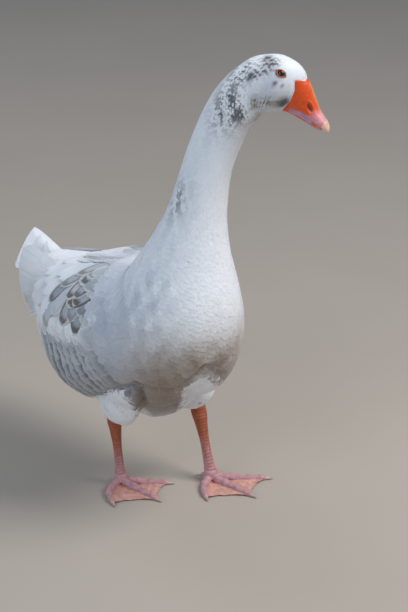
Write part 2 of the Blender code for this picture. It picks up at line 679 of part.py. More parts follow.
def toe_path(start, degrees, length, bow, share):
    """The middle line of a toe from the ankle to its tip, its thickness and where its end points."""
    heading = math.radians(degrees)
    ahead = np.array([math.sin(heading), -math.cos(heading), 0.0])
    radius = TOE_ROOT_RADIUS + (TOE_TIP_RADIUS - TOE_ROOT_RADIUS) * share
    for knuckle in TOE_KNUCKLES:
        radius = radius + KNUCKLE_SWELL * np.exp(-((share - knuckle) / KNUCKLE_SPREAD) ** 2)
    height = radius * (TOE_SEAT + TOE_ARCH * (1 - share) ** 3)
    across = np.array([-ahead[1], ahead[0], 0.0])
    path = start + ahead * (length * share)[:, None] + across * (bow * np.sin(math.pi * share))[:, None]
    path[:, 2] = height
    end = ahead * length - across * bow * math.pi
    return path, radius, end / np.linalg.norm(end)


def toe_rings(path, radius, ahead, around=8):
    """Round sections square to the toe, flattened where they meet the floor."""
    across = np.array([-ahead[1], ahead[0], 0.0])
    turn = np.linspace(0, 2 * math.pi, around, endpoint=False) + math.pi / around
    ring = (across * np.cos(turn)[:, None] + np.array([0, 0, 1.0]) * np.sin(turn)[:, None])
    points = path[:, None, :] + radius[:, None, None] * ring[None]
    points[..., 2] = np.maximum(points[..., 2], 0.0)
    return points


def claw(name, end, radius, ahead, drop):
    """A horn claw that tapers and curves down from the toe's end."""
    share = np.linspace(0, 1, 5)
    path = end + ahead * (GAP + CLAW_LENGTH * share)[:, None]
    path[:, 2] += drop * share ** 2
    size = 0.72 * radius * (1 - share ** 1.5) + 0.0004
    path[:, 2] = np.maximum(path[:, 2], size + 0.0002)
    return finish(loft(name, toe_rings(path, size, ahead, 6)), "claw")


def make_foot(name, leg):
    """Ankle, toes and webs as one solid, and the claws."""
    start = np.array([leg["ankle"][0], -leg["ankle"][1], 0.0])
    share = np.linspace(0, 1, 9)
    pieces, claws, paths = [], [], {}
    for toe, (length, degrees, bow) in TOES[name].items():
        path, radius, ahead = toe_path(start, degrees, length - CLAW_LENGTH, bow, share)
        pieces.append(loft("toe", toe_rings(path, radius, ahead)))
        paths[toe] = path
        claws.append(claw(f"claw_{name}_{toe}", path[-1], radius[-1], ahead, -0.002))
    across = np.linspace(0, 1, 6)
    for one, two in (("inner", "middle"), ("middle", "outer")):
        reach = WEB_REACH - WEB_NOTCH * np.sin(math.pi * across)
        along = np.linspace(WEB_START, 1, 5)[:, None] * reach[None, :]
        upper = np.empty(along.shape + (3,))
        for axis in range(3):
            near = np.interp(along, share, paths[one][:, axis])
            far = np.interp(along, share, paths[two][:, axis])
            upper[..., axis] = near + (far - near) * across
        upper[..., 2] *= WEB_HEIGHT - WEB_SAG * np.sin(math.pi * across)
        upper[..., 2] += WEB_THICKNESS * 0.6
        lower = upper - np.array([0, 0, WEB_THICKNESS])
        pieces.append(slab("web", upper, lower))
    ring = shank_rings(leg)[-1]
    base = ring.mean(axis=0)
    ankle = [base + (ring - base) * size - np.array([0, 0, GAP + drop]) for drop, size in ANKLE_SECTIONS]
    foot = loft(f"foot_{name}", ankle)
    middle = math.radians(TOES[name]["middle"][1])
    inward = 1 if name == "right" else -1
    back = np.array([-math.sin(middle) + HIND_TOE_INWARD * inward, math.cos(middle), 0.0])
    back /= np.linalg.norm(back)
    path = start + back * np.linspace(0.004, 0.004 + HIND_TOE_LENGTH, 6)[:, None]
    path[:, 2] = np.linspace(*HIND_TOE_HEIGHTS, 6)
    radius = np.linspace(*HIND_TOE_RADII, 6)
    pieces.append(loft("hind", toe_rings(path, radius, back)))
    claws.append(claw(f"claw_{name}_hind", path[-1], radius[-1], back, -0.004))
    boolean(foot, pieces, "UNION")
    return [finish(foot, "foot")] + claws


def stand_on_origin(parts):
    """Carries every part on one empty, with the origin under the middle of the whole."""
    points = np.concatenate([np.array([v.co[:] for v in part.data.vertices]) for part in parts])
    low, high = points.min(axis=0), points.max(axis=0)
    root = bpy.data.objects.new("goose_frame", None)
    root.location = (-(low[0] + high[0]) / 2, -(low[1] + high[1]) / 2, -low[2])
    PARTS.objects.link(root)
    for part in parts:
        part.parent = root


for old in list(bpy.data.objects):
    bpy.data.objects.remove(old)
PARTS = bpy.data.collections.new("domestic_goose")
CUTTERS = bpy.data.collections.new("cutters")
for collection in (PARTS, CUTTERS):
    bpy.context.scene.collection.children.link(collection)

torso_part = finish(body_length("torso", "tail_root", "neck_base", TORSO_RINGS), "torso")
tail_part = make_tail()
goose = [torso_part, tail_part, finish(body_length("neck", "neck_base", "nape", NECK_RINGS), "neck")]
goose += make_head() + make_bill()
for sign, word in ((-1, "right"), (1, "left")):
    goose.append(make_wing(sign, word, torso_part, tail_part))
    goose += make_leg(word, torso_part)
stand_on_origin(goose)
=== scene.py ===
"""The looks of a standing domestic goose, life size, laid out as an add-on and run as a script.

Metres, +Z up. The goose faces -Y, so its own left is +X. Its coat is laid over one surface drawn
round a spine: a place on it is a station from tail to bill and a turn round from the top.
"""
import json
import math
from functools import partial

import bpy
import numpy as np
from bpy.props import FloatProperty, FloatVectorProperty, PointerProperty
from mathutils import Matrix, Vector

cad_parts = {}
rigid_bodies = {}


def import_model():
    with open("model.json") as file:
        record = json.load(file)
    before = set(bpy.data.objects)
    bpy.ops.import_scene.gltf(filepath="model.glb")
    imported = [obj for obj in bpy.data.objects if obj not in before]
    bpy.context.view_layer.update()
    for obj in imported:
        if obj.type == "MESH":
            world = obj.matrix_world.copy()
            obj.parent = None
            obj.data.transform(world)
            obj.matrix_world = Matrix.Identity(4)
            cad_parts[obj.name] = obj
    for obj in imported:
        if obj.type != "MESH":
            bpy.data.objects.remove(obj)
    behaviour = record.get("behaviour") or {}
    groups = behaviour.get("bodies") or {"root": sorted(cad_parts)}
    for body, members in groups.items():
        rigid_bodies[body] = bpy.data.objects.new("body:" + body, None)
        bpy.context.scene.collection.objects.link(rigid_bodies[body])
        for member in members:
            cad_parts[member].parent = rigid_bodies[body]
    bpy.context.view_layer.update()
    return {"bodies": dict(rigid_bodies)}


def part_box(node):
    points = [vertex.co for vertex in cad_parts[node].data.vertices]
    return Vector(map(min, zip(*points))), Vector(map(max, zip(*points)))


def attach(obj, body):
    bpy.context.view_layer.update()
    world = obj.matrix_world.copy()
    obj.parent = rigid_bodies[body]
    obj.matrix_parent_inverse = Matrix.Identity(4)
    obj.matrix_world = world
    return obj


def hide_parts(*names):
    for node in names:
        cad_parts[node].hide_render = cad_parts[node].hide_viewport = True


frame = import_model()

bl_info = {
    "name": "Domestic goose",
    "version": (1, 0, 0),
    "blender": (4, 5, 0),
    "location": "3D View > Sidebar > Goose",
    "description": "Dresses a standing domestic goose in skin, feathers, horn and scales",
    "category": "Add Mesh",
}

ROOT = next(iter(frame["bodies"]))
MM = 0.001

# The head's frame: a point between the eyes (left, forward, up), its pitch and its yaw
BROW = (0.094, 0.190, 0.760)
HEAD_PITCH = math.radians(-35)
HEAD_YAW = math.radians(46)
EYE_ALONG, EYE_RISE, EYE_SIDE = -0.003, -0.0030, 0.0219
EYE_TILT = math.radians(20)
EYE_RADIUS = 0.0078
LID_HALF_LENGTH, LID_HALF_HEIGHT, LID_RADIUS = 0.0067, 0.0047, 0.0011


def head_axes():
    """Unit vectors along the bill, up out of the crown, and to the head's left."""
    p, w = HEAD_PITCH, HEAD_YAW
    along = np.array([math.sin(w) * math.cos(p), -math.cos(w) * math.cos(p), math.sin(p)])
    side = np.array([math.cos(w), math.sin(w), 0.0])
    return along, np.cross(along, side), side


# The bird is drawn about a point under its tail; the frame's origin is under its middle
SHIFT = np.zeros(3)


def place(points):
    """Points of the drawing carried to the frame."""
    return np.asarray(points, float) - SHIFT


def head_point(along, rise, side=0.0):
    """Points given in the head's frame: along the bill, up and to the left of its middle."""
    a, n, s = head_axes()
    along, rise, side = np.broadcast_arrays(*(np.asarray(v, float) for v in (along, rise, side)))
    brow = place([BROW[0], -BROW[1], BROW[2]])
    return brow + along[..., None] * a + rise[..., None] * n + side[..., None] * s


SHIFT = head_point(EYE_ALONG, EYE_RISE, EYE_SIDE) - np.mean(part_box("eye_left"), axis=0)


def head_station(along, rise, tilt, half_width, up, down):
    """A station of the spine that is placed in the head's frame."""
    x, y, z = head_point(along, rise) + SHIFT
    return (-y, z, x, math.degrees(HEAD_PITCH) + tilt, math.degrees(HEAD_YAW), half_width, up, down, 2.0)


# The spine from tail root to bill: forward, height, left, pitch and yaw in degrees, half width,
# reach above and below the spine, and the roundness of the section
SPINE = np.array((
    (-0.345, 0.312, 0.0, 4, 0, 0.034, 0.016, 0.024, 2.2),
    (-0.300, 0.300, 0.0, 4, 0, 0.072, 0.036, 0.060, 2.2),
    (-0.238, 0.286, 0.0, 4, 0, 0.104, 0.066, 0.098, 2.3),
    (-0.145, 0.286, 0.0, 12, 0, 0.125, 0.094, 0.136, 2.4),
    (-0.050, 0.302, 0.0, 20, 0, 0.130, 0.104, 0.130, 2.2),
    (0.020, 0.326, 0.0, 32, 0, 0.123, 0.102, 0.124, 2.1),
    (0.048, 0.366, 0.0, 46, 0, 0.105, 0.094, 0.120, 2.0),
    (0.064, 0.416, 0.0, 60, 0, 0.083, 0.079, 0.094, 2.0),
    (0.076, 0.474, 0.002, 72, 2, 0.059, 0.060, 0.064, 2.0),
    (0.086, 0.536, 0.008, 80, 8, 0.043, 0.044, 0.047, 2.0),
    (0.098, 0.602, 0.017, 77, 20, 0.036, 0.038, 0.039, 2.0),
    (0.113, 0.652, 0.030, 66, 36, 0.033, 0.039, 0.036, 2.0),
    head_station(-0.027, -0.093, 77, 0.032, 0.040, 0.037),
    head_station(-0.024, -0.067, 57, 0.032, 0.043, 0.042),
    head_station(-0.017, -0.046, 38, 0.033, 0.046, 0.046),
    head_station(-0.004, -0.030, 20, 0.033, 0.045, 0.049),
    head_station(0.013, -0.021, 6, 0.029, 0.039, 0.048),
    head_station(0.024, -0.020, 2, 0.023, 0.035, 0.041),
    head_station(0.033, -0.020, 0, 0.0185, 0.0288, 0.0338),
))
LAST = len(SPINE) - 1

# Swellings and furrows: station, degrees round from the top, height, spread in stations and degrees
RELIEF = (
    (5.4, 180, -0.006, 1.3, 9),
    (5.4, 152, 0.003, 1.2, 16), (5.4, -152, 0.003, 1.2, 16),
    (3.1, 176, 0.012, 0.7, 34),
    (3.8, 176, 0.029, 0.6, 22),
    (2.9, 124, 0.013, 0.9, 26), (2.9, -124, 0.013, 0.9, 26),
    (4.10, -152, 0.007, 0.42, 13), (4.75, -166, 0.005, 0.40, 10), (5.15, 168, 0.005, 0.45, 12),
    (15.6, 112, 0.0022, 0.9, 26), (15.6, -112, 0.0022, 0.9, 26),
    (15.42, 43, 0.0024, 0.50, 15), (15.42, -43, 0.0024, 0.50, 15),
)

# Creases between breast, thighs and paunch: places as station and degrees, then depth and width
CREASES = (
    (((3.10, -156), (3.35, -147), (3.80, -139), (4.45, -133), (4.95, -134)), 0.009, 0.0075),
    (((4.95, -134), (5.22, -149), (5.38, -161), (5.66, -165), (6.02, -173), (5.95, -183), (5.6, -196)),
     0.008, 0.0075),
    (((4.95, -134), (4.50, -152), (3.85, -170), (3.30, -176)), 0.015, 0.0065),
    (((5.60, -164), (4.90, -180), (4.30, -187)), 0.005, 0.0075),
)
CREASE_STATION, CREASE_RADIUS = 0.105, 0.120

# Thighs inside the coat: left, forward and up of the middle, and the three radii
THIGHS = (
    ((-0.038, -0.070, 0.183), (0.046, 0.062, 0.062)),
    ((0.077, -0.050, 0.190), (0.041, 0.055, 0.062)),
)
THIGH_BLEND = 0.004
THIGH_END = 7.0

# Steps of the body's chart, which every feather is laid on
CHART_ROWS, CHART_TURNS = 901, 361


def smooth(at, values, t):
    """Monotone cubic curve through values given at rising places."""
    at, values = np.asarray(at, float), np.asarray(values, float)
    t = np.clip(np.asarray(t, float), at[0], at[-1])
    step = np.diff(at)
    slope = np.diff(values) / step
    knot = np.concatenate([slope[:1], np.zeros(len(at) - 2), slope[-1:]])
    rising = np.flatnonzero(slope[:-1] * slope[1:] > 0)
    one, two = 2 * step[rising + 1] + step[rising], step[rising + 1] + 2 * step[rising]
    knot[rising + 1] = (one + two) / (one / slope[rising] + two / slope[rising + 1])
    k = np.clip(np.searchsorted(at, t, side="right") - 1, 0, len(at) - 2)
    u = (t - at[k]) / step[k]
    ends = (1 + 2 * u) * (1 - u) ** 2 * values[k] + u * u * (3 - 2 * u) * values[k + 1]
    return ends + step[k] * u * (1 - u) * ((1 - u) * knot[k] - u * knot[k + 1])


def ease(low, high, value):
    """0 below low, 1 above high, and an S curve between."""
    t = np.clip((np.asarray(value, float) - low) / (high - low), 0, 1)
    return t * t * (3 - 2 * t)


def hill(value, middle, spread):
    """1 at the middle, falling away to both sides as a Gauss curve."""
    return np.exp(-((value - middle) / spread) ** 2)


def unit(vectors):
    """Vectors of length 1 that point the same way."""
    return vectors / np.linalg.norm(vectors, axis=-1, keepdims=True)


def full_turn(count):
    """Angles of even steps all the way round."""
    return np.linspace(0, 2 * math.pi, count, endpoint=False)


def turn_from(phi, degrees):
    """Degrees from a direction round the spine to phi, the short way."""
    return (np.degrees(phi) - degrees + 180) % 360 - 180


def from_top(phi):
    """Degrees from the top of the body round to phi, alike on either side."""
    return np.abs(np.degrees((phi + math.pi) % (2 * math.pi) - math.pi))


def from_line(s, phi, places):
    """Distance of places of the body from a line of stations and degrees, as on a flat sheet.

    The nearest point of each straight piece is its start plus the clipped share along it."""
    near = np.full(np.broadcast(s, phi).shape, 9.0)
    for (one, start), (two, finish) in zip(places, places[1:]):
        x, y = (s - one) * CREASE_STATION, np.radians(turn_from(phi, start)) * CREASE_RADIUS
        u, v = (two - one) * CREASE_STATION, math.radians(finish - start) * CREASE_RADIUS
        share = np.clip((x * u + y * v) / (u * u + v * v), 0, 1)
        near = np.minimum(near, np.hypot(x - share * u, y - share * v))
    return near


def body_chart():
    """The body on a grid of stations and turns.

    A section is a superellipse in the plane square to the spine. The swellings push its points
    out in that plane, and where a ray from the spine leaves a thigh's ellipsoid farther out
    than that, the point goes there, the two being joined by a soft maximum."""
    s = np.linspace(0, LAST, CHART_ROWS)
    phi = np.linspace(-math.pi, math.pi, CHART_TURNS)
    forward, z, x, pitch, yaw, half, up, down, power = (smooth(np.arange(LAST + 1), c, s) for c in SPINE.T)
    p, w = np.radians(pitch), np.radians(yaw)
    axis = np.stack([np.sin(w) * np.cos(p), -np.cos(w) * np.cos(p), np.sin(p)], 1)
    left = np.stack([np.cos(w), np.sin(w), 0 * w], 1)
    top = np.cross(axis, left)
    centre = place(np.stack([x, -forward, z], 1))[:, None]
    c, q = np.cos(phi), np.sin(phi)
    root = 2 / power[:, None]
    rise = np.where(c > 0, up[:, None], down[:, None]) * np.sign(c) * np.abs(c) ** root
    out = half[:, None] * np.sign(q) * np.abs(q) ** root
    radius = left[:, None] * out[..., None] + top[:, None] * rise[..., None]
    reach = np.linalg.norm(radius, axis=-1)
    ray = radius / reach[..., None]
    for station, degrees, height, along, around in RELIEF:
        turn = turn_from(phi, degrees)[None]
        reach = reach + height * np.exp(-((s[:, None] - station) / along) ** 2 - (turn / around) ** 2)
    creased = [(from_line(s[:, None], phi[None], line), depth, width) for line, depth, width in CREASES]
    for (x, forward, z), radii in THIGHS:
        start = (centre - place([x, -forward, z])) / radii
        way = ray / radii
        a, b = (way ** 2).sum(-1), (start * way).sum(-1)
        inside = b ** 2 - a * ((start ** 2).sum(-1) - 1)
        far = np.where((inside > 0) & (s[:, None] < THIGH_END), (np.sqrt(np.maximum(inside, 0)) - b) / a, 0.0)
        gap = np.abs(far - reach) / THIGH_BLEND
        reach = np.maximum(far, reach) + THIGH_BLEND * np.log1p(np.exp(-gap))
    for away, depth, width in creased:
        reach = reach - depth * np.exp(-(away / width) ** 2)
    points = centre + ray * reach[..., None]
    along, around = np.gradient(points, s, axis=0), np.gradient(points, phi, axis=1)
    around[:, [0, -1]] = (points[:, [1]] - points[:, [-2]]) / (2 * (phi[1] - phi[0]))
    normal = unit(np.cross(along, around))
    long, wide = (np.linalg.norm(v, axis=-1)[..., None] for v in (along, around))
    return np.concatenate([points, normal, long, wide], -1)


CHART = body_chart()


def on_body(s, phi):
    """Points of the body, its normals, and metres per station and per radian there.

    Each is the chart's four nearest places weighted by how near they are."""
    s, phi = np.broadcast_arrays(np.asarray(s, float), np.asarray(phi, float))
    row = np.clip(s / LAST * (CHART_ROWS - 1), 0, CHART_ROWS - 1.001)
    turn = ((phi + math.pi) / (2 * math.pi) % 1.0) * (CHART_TURNS - 1)
    i, j = row.astype(int), np.minimum(turn.astype(int), CHART_TURNS - 2)
    u, v = (row - i)[..., None], (turn - j)[..., None]
    found = (CHART[i, j] * (1 - u) * (1 - v) + CHART[i + 1, j] * u * (1 - v)
             + CHART[i, j + 1] * (1 - u) * v + CHART[i + 1, j + 1] * u * v)
    return found[..., :3], unit(found[..., 3:6]), found[..., 6], found[..., 7]


def chart_place(s, phi):
    """Places on the unrolled skin: share of the way round, and share of the way to the bill."""
    return np.stack([(phi + math.pi) / (2 * math.pi) % 1.0, s / LAST], -1) * 0.99


def linear(code):
    """Linear red, green and blue of an sRGB hex colour."""
    c = np.array([int(code[k:k + 2], 16) / 255 for k in (0, 2, 4)])
    return tuple(float(v) for v in np.where(c <= 0.04045, c / 12.92, ((c + 0.055) / 1.055) ** 2.4))


def tinted(base, other, weight):
    """Colours part of the way from one to another, by an array of weights."""
    base = np.asarray(base)
    return base + (np.asarray(other) - base) * np.asarray(weight)[..., None]


def colour(name, description, code):
    """A colour that the user can change, given as a hex code."""
    return FloatVectorProperty(name=name, description=description, subtype="COLOR", size=3,
                               min=0.0, max=1.0, default=linear(code))


def length(name, description, default):
    """A length in metres that the user can change."""
    return FloatProperty(name=name, description=description, default=default, min=0.0,
                         unit="LENGTH", precision=5)


class GooseSizes(bpy.types.PropertyGroup):
    """Sizes of the coat."""
    breast_feather: length("Breast feather", "Length of a feather on the breast", 0.027)
    flank_feather: length("Flank feather", "Length of a feather on the flank", 0.036)
    scapular: length("Scapular", "Length of a feather over the wing", 0.094)
    scapular_width: length("Scapular width", "Width of a feather over the wing", 0.038)
    vane_thickness: length("Vane thickness", "Thickness of a body feather at its shaft", 0.0003)
    flight_thickness: length("Flight vane thickness", "Thickness of a flight feather", 0.0006)
    body_depth: length("Coat depth on the body", "Depth of skin under the coat of the body", 0.0040)
    neck_depth: length("Coat depth on the neck", "Depth of skin under the coat of the neck", 0.0026)
    face_depth: length("Coat depth on the face", "Depth of skin under the coat of the face", 0.0009)


class GooseColours(bpy.types.PropertyGroup):
    """Colours of the plumage, horn, eyes and scales."""
    white: colour("White", "Clean white of face, neck and tail", "EEF1F6")
    # Shade is painted blue shade: it darkens the hidden halves of the feathers, the gaps in the down, the
    # undertail and the shade patches of face, neck and breast
    shade: colour("Shade", "Blue grey of a feather's hidden half", "AEB7C6")
    grey: colour("Grey", "Grey of the feathers over the wing", "8B94A2")
    # Brown is the real colour of the wing feathers' bands, and also painted shade under the belly and along
    # the lower flank
    brown: colour("Brown", "Brown bands near the tips of wing feathers", "63574D")
    fringe: colour("Fringe", "Cream edges of the feathers", "E9E5DB")
    crown: colour("Crown", "Grey brown flecks of crown and neck", "58565F")
    # Beige is partly real soil and partly painted warm bounce light from the ground, on the lower breast and
    # belly
    beige: colour("Beige", "Soiled beige of breast and belly", "87705B")
    stain: colour("Stain", "Olive stain of throat and gape", "74694F")
    orange: colour("Orange", "Horny skin of the bill", "DA4C04")
    # The paler culmen is a painted highlight along the top of the bill
    culmen: colour("Culmen", "Paler ridge of the bill", "E8925E")
    pink: colour("Pink", "Fore end of the bill", "D79AA2")
    lilac: colour("Lilac", "Comb plates along the bill's edge", "B59FB8")
    # Nostril is painted shade: its dark red fills the pits of the nostrils
    gape: colour("Nostril", "Dark red inside the nostrils", "7E281F")
    nail: colour("Nail", "Horn nail at the bill's tip", "E2B79C")
    lid: colour("Lid", "Bare orange ring round the eye", "B8692E")
    iris: colour("Iris", "Dark slate iris", "19181D")
    shank: colour("Shank", "Scaly skin of the shank", "B4603C")
    foot: colour("Foot", "Scaly skin of the toes", "D9A6AC")
    web: colour("Web", "Thin skin of the webs", "E6AEA0")
    claw: colour("Claw", "Pale horn of the claws", "C9AE9C")


def mesh_of(name, points, faces, colours=None, marks=None, vane=None, uv=None):
    """A smooth mesh from arrays of points and quads, with its named attributes."""
    points, faces = points.reshape(-1, 3), faces.reshape(-1, 4)
    mesh = bpy.data.meshes.new(name)
    mesh.vertices.add(len(points))
    mesh.vertices.foreach_set("co", points.astype(np.float32).ravel())
    mesh.loops.add(faces.size)
    mesh.loops.foreach_set("vertex_index", faces.astype(np.int32).ravel())
    mesh.polygons.add(len(faces))
    mesh.polygons.foreach_set("loop_start", np.arange(0, faces.size, 4, dtype=np.int32))
    mesh.update(calc_edges=True)
    mesh.shade_smooth()
    for key, values in (("plumage", colours), ("marks", marks)):
        if values is not None:
            values = values.reshape(-1, values.shape[-1])
            if values.shape[1] == 3:
                values = np.concatenate([values, np.ones((len(values), 1))], 1)
            layer = mesh.attributes.new(key, "FLOAT_COLOR", "POINT")
            layer.data.foreach_set("color", values.astype(np.float32).ravel())
    if vane is not None:
        layer = mesh.attributes.new("vane", "FLOAT_VECTOR", "POINT")
        layer.data.foreach_set("vector", vane.reshape(-1, 3).astype(np.float32).ravel())
    if uv is not None:
        layer = mesh.uv_layers.new(name="OFBake")
        layer.uv.foreach_set("vector", uv.reshape(-1, 2)[faces.ravel()].astype(np.float32).ravel())
    return mesh


def add_object(data):
    """An object of the scene with the name of its data, at the origin."""
    obj = bpy.data.objects.new(data.name, data)
    bpy.context.scene.collection.objects.link(obj)
    return obj


def set_piece(mesh, material, replaces=()):
    """Puts a finished mesh on the goose as a piece of its name that rides on its body."""
    mesh.materials.append(materials()[material])
    obj = add_object(mesh)
    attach(obj, ROOT)
    if replaces:
        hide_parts(*replaces)


def tube_faces(rows, turns, closed=False):
    """Quads of a tube of rings, whose ends are closed by a point each unless it is a ring.

    With the end points the order is rings, first end, last end; their faces are quads that
    fold two of the ring's edges into one corner."""
    i, j = np.meshgrid(np.arange(rows if closed else rows - 1), np.arange(turns), indexing="ij")
    here, next_row, k = i * turns, (i + 1) % rows * turns, (j + 1) % turns
    faces = np.stack([here + j, next_row + j, next_row + k, here + k], -1).reshape(-1, 4)
    if closed:
        return faces
    first, last = rows * turns, rows * turns + 1
    even = np.arange(0, turns, 2)
    start = np.stack([np.full(len(even), first), even, even + 1, (even + 2) % turns], 1)
    finish = start[:, [0, 3, 2, 1]] + (rows - 1) * turns
    finish[:, 0] = last
    return np.concatenate([faces, start, finish])


def shell(rings, tints=None, closed=False):
    """Points, quads and colours, where it has any, of a tube through rings; one colour does.

    A ring is an even number of points that turn left about the way ahead. The middle points
    of the first and last ring close the ends, unless the tube is itself a ring."""
    def with_ends(values):
        if values is None:
            return None
        values = np.broadcast_to(values, rings.shape)
        ends = [] if closed else [values[:1].mean(axis=1), values[-1:].mean(axis=1)]
        return np.concatenate([values.reshape(-1, 3), *ends])
    rings = np.asarray(rings)
    return with_ends(rings), tube_faces(*rings.shape[:2], closed), with_ends(tints)


def tube(name, rings, tints=None, closed=False):
    """The mesh of a tube through rings."""
    return mesh_of(name, *shell(rings, tints, closed))


# Size of a vane's patch on the bake map
BAKE_PATCH = 0.003


def vane_grid(rows, columns, root, aspect, tip=0.62):
    """A vane one long and one wide: shares along it, and across it from -1 to 1, on a grid.

    Its end is half an ellipse, the share tip of its width long, where aspect is the vane's width
    over its length; before that its sides are straight, drawn in at the root."""
    end = 1 - tip * aspect
    steps = max(rows // 2, 2)
    bow = np.sin(np.linspace(0, math.pi / 2, rows - steps)) * 0.985
    t = np.concatenate([np.linspace(0, end, steps, endpoint=False), end + (1 - end) * bow])
    half = 0.5 * np.sqrt(1 - np.clip((t - end) / (1 - end), 0, 1) ** 2) * np.minimum(root + 1.6 * t, 1)
    u = np.linspace(-1, 1, columns)
    return t[:, None] - 0.03 * aspect * u ** 2 * t[:, None] ** 3, half[:, None] * u


def join_vanes(name, upper, normals, thickness, along, tints, marks, roots):
    """Closed lens-shaped vanes joined into one mesh, with a colour and marks for each vane or point.

    Upper and lower face share the rim, and inside it the lower face lies a thickness under
    the upper one. The rim's edges are sharp. A vane's patch of the bake map is its own grid,
    3 mm across, at its root's place on the unrolled skin."""
    count, rows, columns = upper.shape[:3]
    top = np.arange(rows * columns).reshape(rows, columns)
    low = top.copy()
    inner = (rows - 2) * (columns - 2)
    low[1:-1, 1:-1] = rows * columns + np.arange(inner).reshape(rows - 2, columns - 2)
    size = rows * columns + inner

    def both(values):
        values = np.broadcast_to(values, (count, rows, columns, values.shape[-1]))
        flat = values.reshape(count, rows * columns, -1)
        inside = values[:, 1:-1, 1:-1].reshape(count, inner, -1)
        return np.concatenate([flat, inside], 1).reshape(count * size, -1)
    under = upper - normals * thickness
    points = np.concatenate([upper.reshape(count, -1, 3), under[:, 1:-1, 1:-1].reshape(count, -1, 3)], 1)

    def quads(grid):
        return np.stack([grid[:-1, :-1], grid[1:, :-1], grid[1:, 1:], grid[:-1, 1:]], -1).reshape(-1, 4)
    one = np.concatenate([quads(top), quads(low)[:, ::-1]])
    faces = one[None] + (np.arange(count) * size)[:, None, None]
    u = np.linspace(-1, 1, columns) + 0 * upper[..., 0]
    t = along + 0 * u
    rim = np.minimum(1 - np.abs(u), 2.2 * (1 - np.linspace(0, 1, rows))[None, :, None])
    vane = np.stack([t, u, rim], -1)
    patch = np.stack([u * 0.5, t], -1) * BAKE_PATCH + roots[:, None, None]
    mesh = mesh_of(name, points, faces, both(tints), both(marks), both(vane), both(patch))
    ends = np.empty(len(mesh.edges) * 2, np.int32)
    mesh.edges.foreach_get("vertices", ends)
    is_rim = np.ones(size, bool)
    is_rim[top[1:-1, 1:-1].ravel()] = False
    is_rim[low[1:-1, 1:-1].ravel()] = False
    sharp = is_rim[ends % size].reshape(-1, 2).all(axis=1)
    mesh.attributes.new("sharp_edge", "BOOLEAN", "EDGE").data.foreach_set("value", sharp)
    return mesh


def waves(points, size, seed):
    """A smooth random field from -1 to 1: the mean of eight plane waves of about that length."""
    rng = np.random.default_rng(seed)
    total = 0
    for _ in range(8):
        way = rng.normal(size=3)
        way /= np.linalg.norm(way) * size * rng.uniform(0.75, 1.35)
        total = total + np.sin(2 * math.pi * (points @ way + rng.uniform()))
    return total / 4


# Patches of the plumage: colour, station, degrees from the top on either side, spread in
# stations and degrees, strength, and how far it breaks up into mottles. Some are painted light:
# the shade patches and the grey one at 5.7 paint blue shade, the beige ones are partly painted
# bounce light, the brown ones are painted shade under the belly and flank, and the crown spot
# at 5.0 is a painted shadow in a gap.
PATCHES = (
    # Painted blue shade on the side of the face
    ("shade", 15.2, 88, 1.1, 34, 0.62, 0.4),
    ("crown", 14.80, 35, 0.36, 16, 1.50, 0.60),
    ("crown", 14.66, 17, 0.18, 8, 1.30, 0.3),
    ("crown", 14.25, 54, 0.55, 10, 1.10, 0.7),
    ("crown", 13.95, 55, 0.18, 8, 1.30, 0.2),
    ("crown", 13.4, 34, 0.8, 36, 0.55, 1.0),
    ("crown", 15.45, 76, 0.15, 6, 1.00, 0.1),
    ("crown", 16.05, 78, 0.13, 5, 0.80, 0.2),
    ("stain", 16.80, 113, 0.60, 15, 0.85, 0.3),
    ("crown", 17.45, 115, 0.50, 15, 1.60, 0.0),
    ("stain", 15.3, 116, 1.0, 14, 0.60, 0.7),
    ("stain", 14.2, 108, 0.5, 14, 0.70, 0.5),
    ("stain", 14.0, 150, 1.6, 34, 0.45, 0.6),
    ("crown", 12.3, 78, 0.75, 38, 0.80, 1.0),
    ("crown", 12.75, 102, 0.42, 24, 0.80, 1.0),
    # Painted shadow: a small dark gap between feathers at the front of the wing
    ("crown", 5.0, 22, 0.10, 3, 1.50, 0.0),
    ("crown", 9.4, 76, 0.42, 24, 0.45, 1.0),
    # Painted blue shade down the side of the neck and breast, the grey at 5.7 with it
    ("shade", 10.4, 95, 1.6, 50, 0.16, 0.6),
    ("shade", 8.6, 60, 0.9, 50, 0.20, 0.9),
    ("shade", 7.3, 95, 0.8, 34, 0.40, 1.0),
    ("shade", 6.4, 84, 0.8, 34, 0.60, 0.5),
    ("grey", 5.7, 72, 0.6, 24, 0.60, 0.45),
    # Beige: partly real soil, partly painted warm bounce light from the ground
    ("beige", 6.35, 165, 0.60, 42, 0.85, 0.25),
    ("beige", 5.7, 140, 0.7, 36, 0.95, 0.20),
    ("beige", 5.2, 150, 0.6, 40, 0.90, 0.12),
    ("beige", 4.3, 150, 1.1, 40, 0.95, 0.10),
    # Painted shade: brown under the belly between the thighs and along the lower flank
    ("brown", 4.75, 180, 0.45, 36, 0.90, 0.10),
    ("brown", 3.6, 124, 0.9, 15, 0.50, 0.35),
    ("grey", 3.9, 8, 0.9, 24, 0.55, 0.4),
    ("grey", 4.9, 30, 0.8, 22, 0.65, 0.35),
    # Painted blue shade on the side of the breast
    ("shade", 5.4, 84, 0.8, 40, 0.60, 0.4),
    ("grey", 5.0, 104, 0.35, 22, 0.45, 0.5),
)
FLANK_GREY, THIGH_WHITE = 0.95, 0.9
# Metres that a station and a radian count for in the waves that draw the marks out into streaks
STREAK_STATION, STREAK_RADIUS = 0.026, 0.034


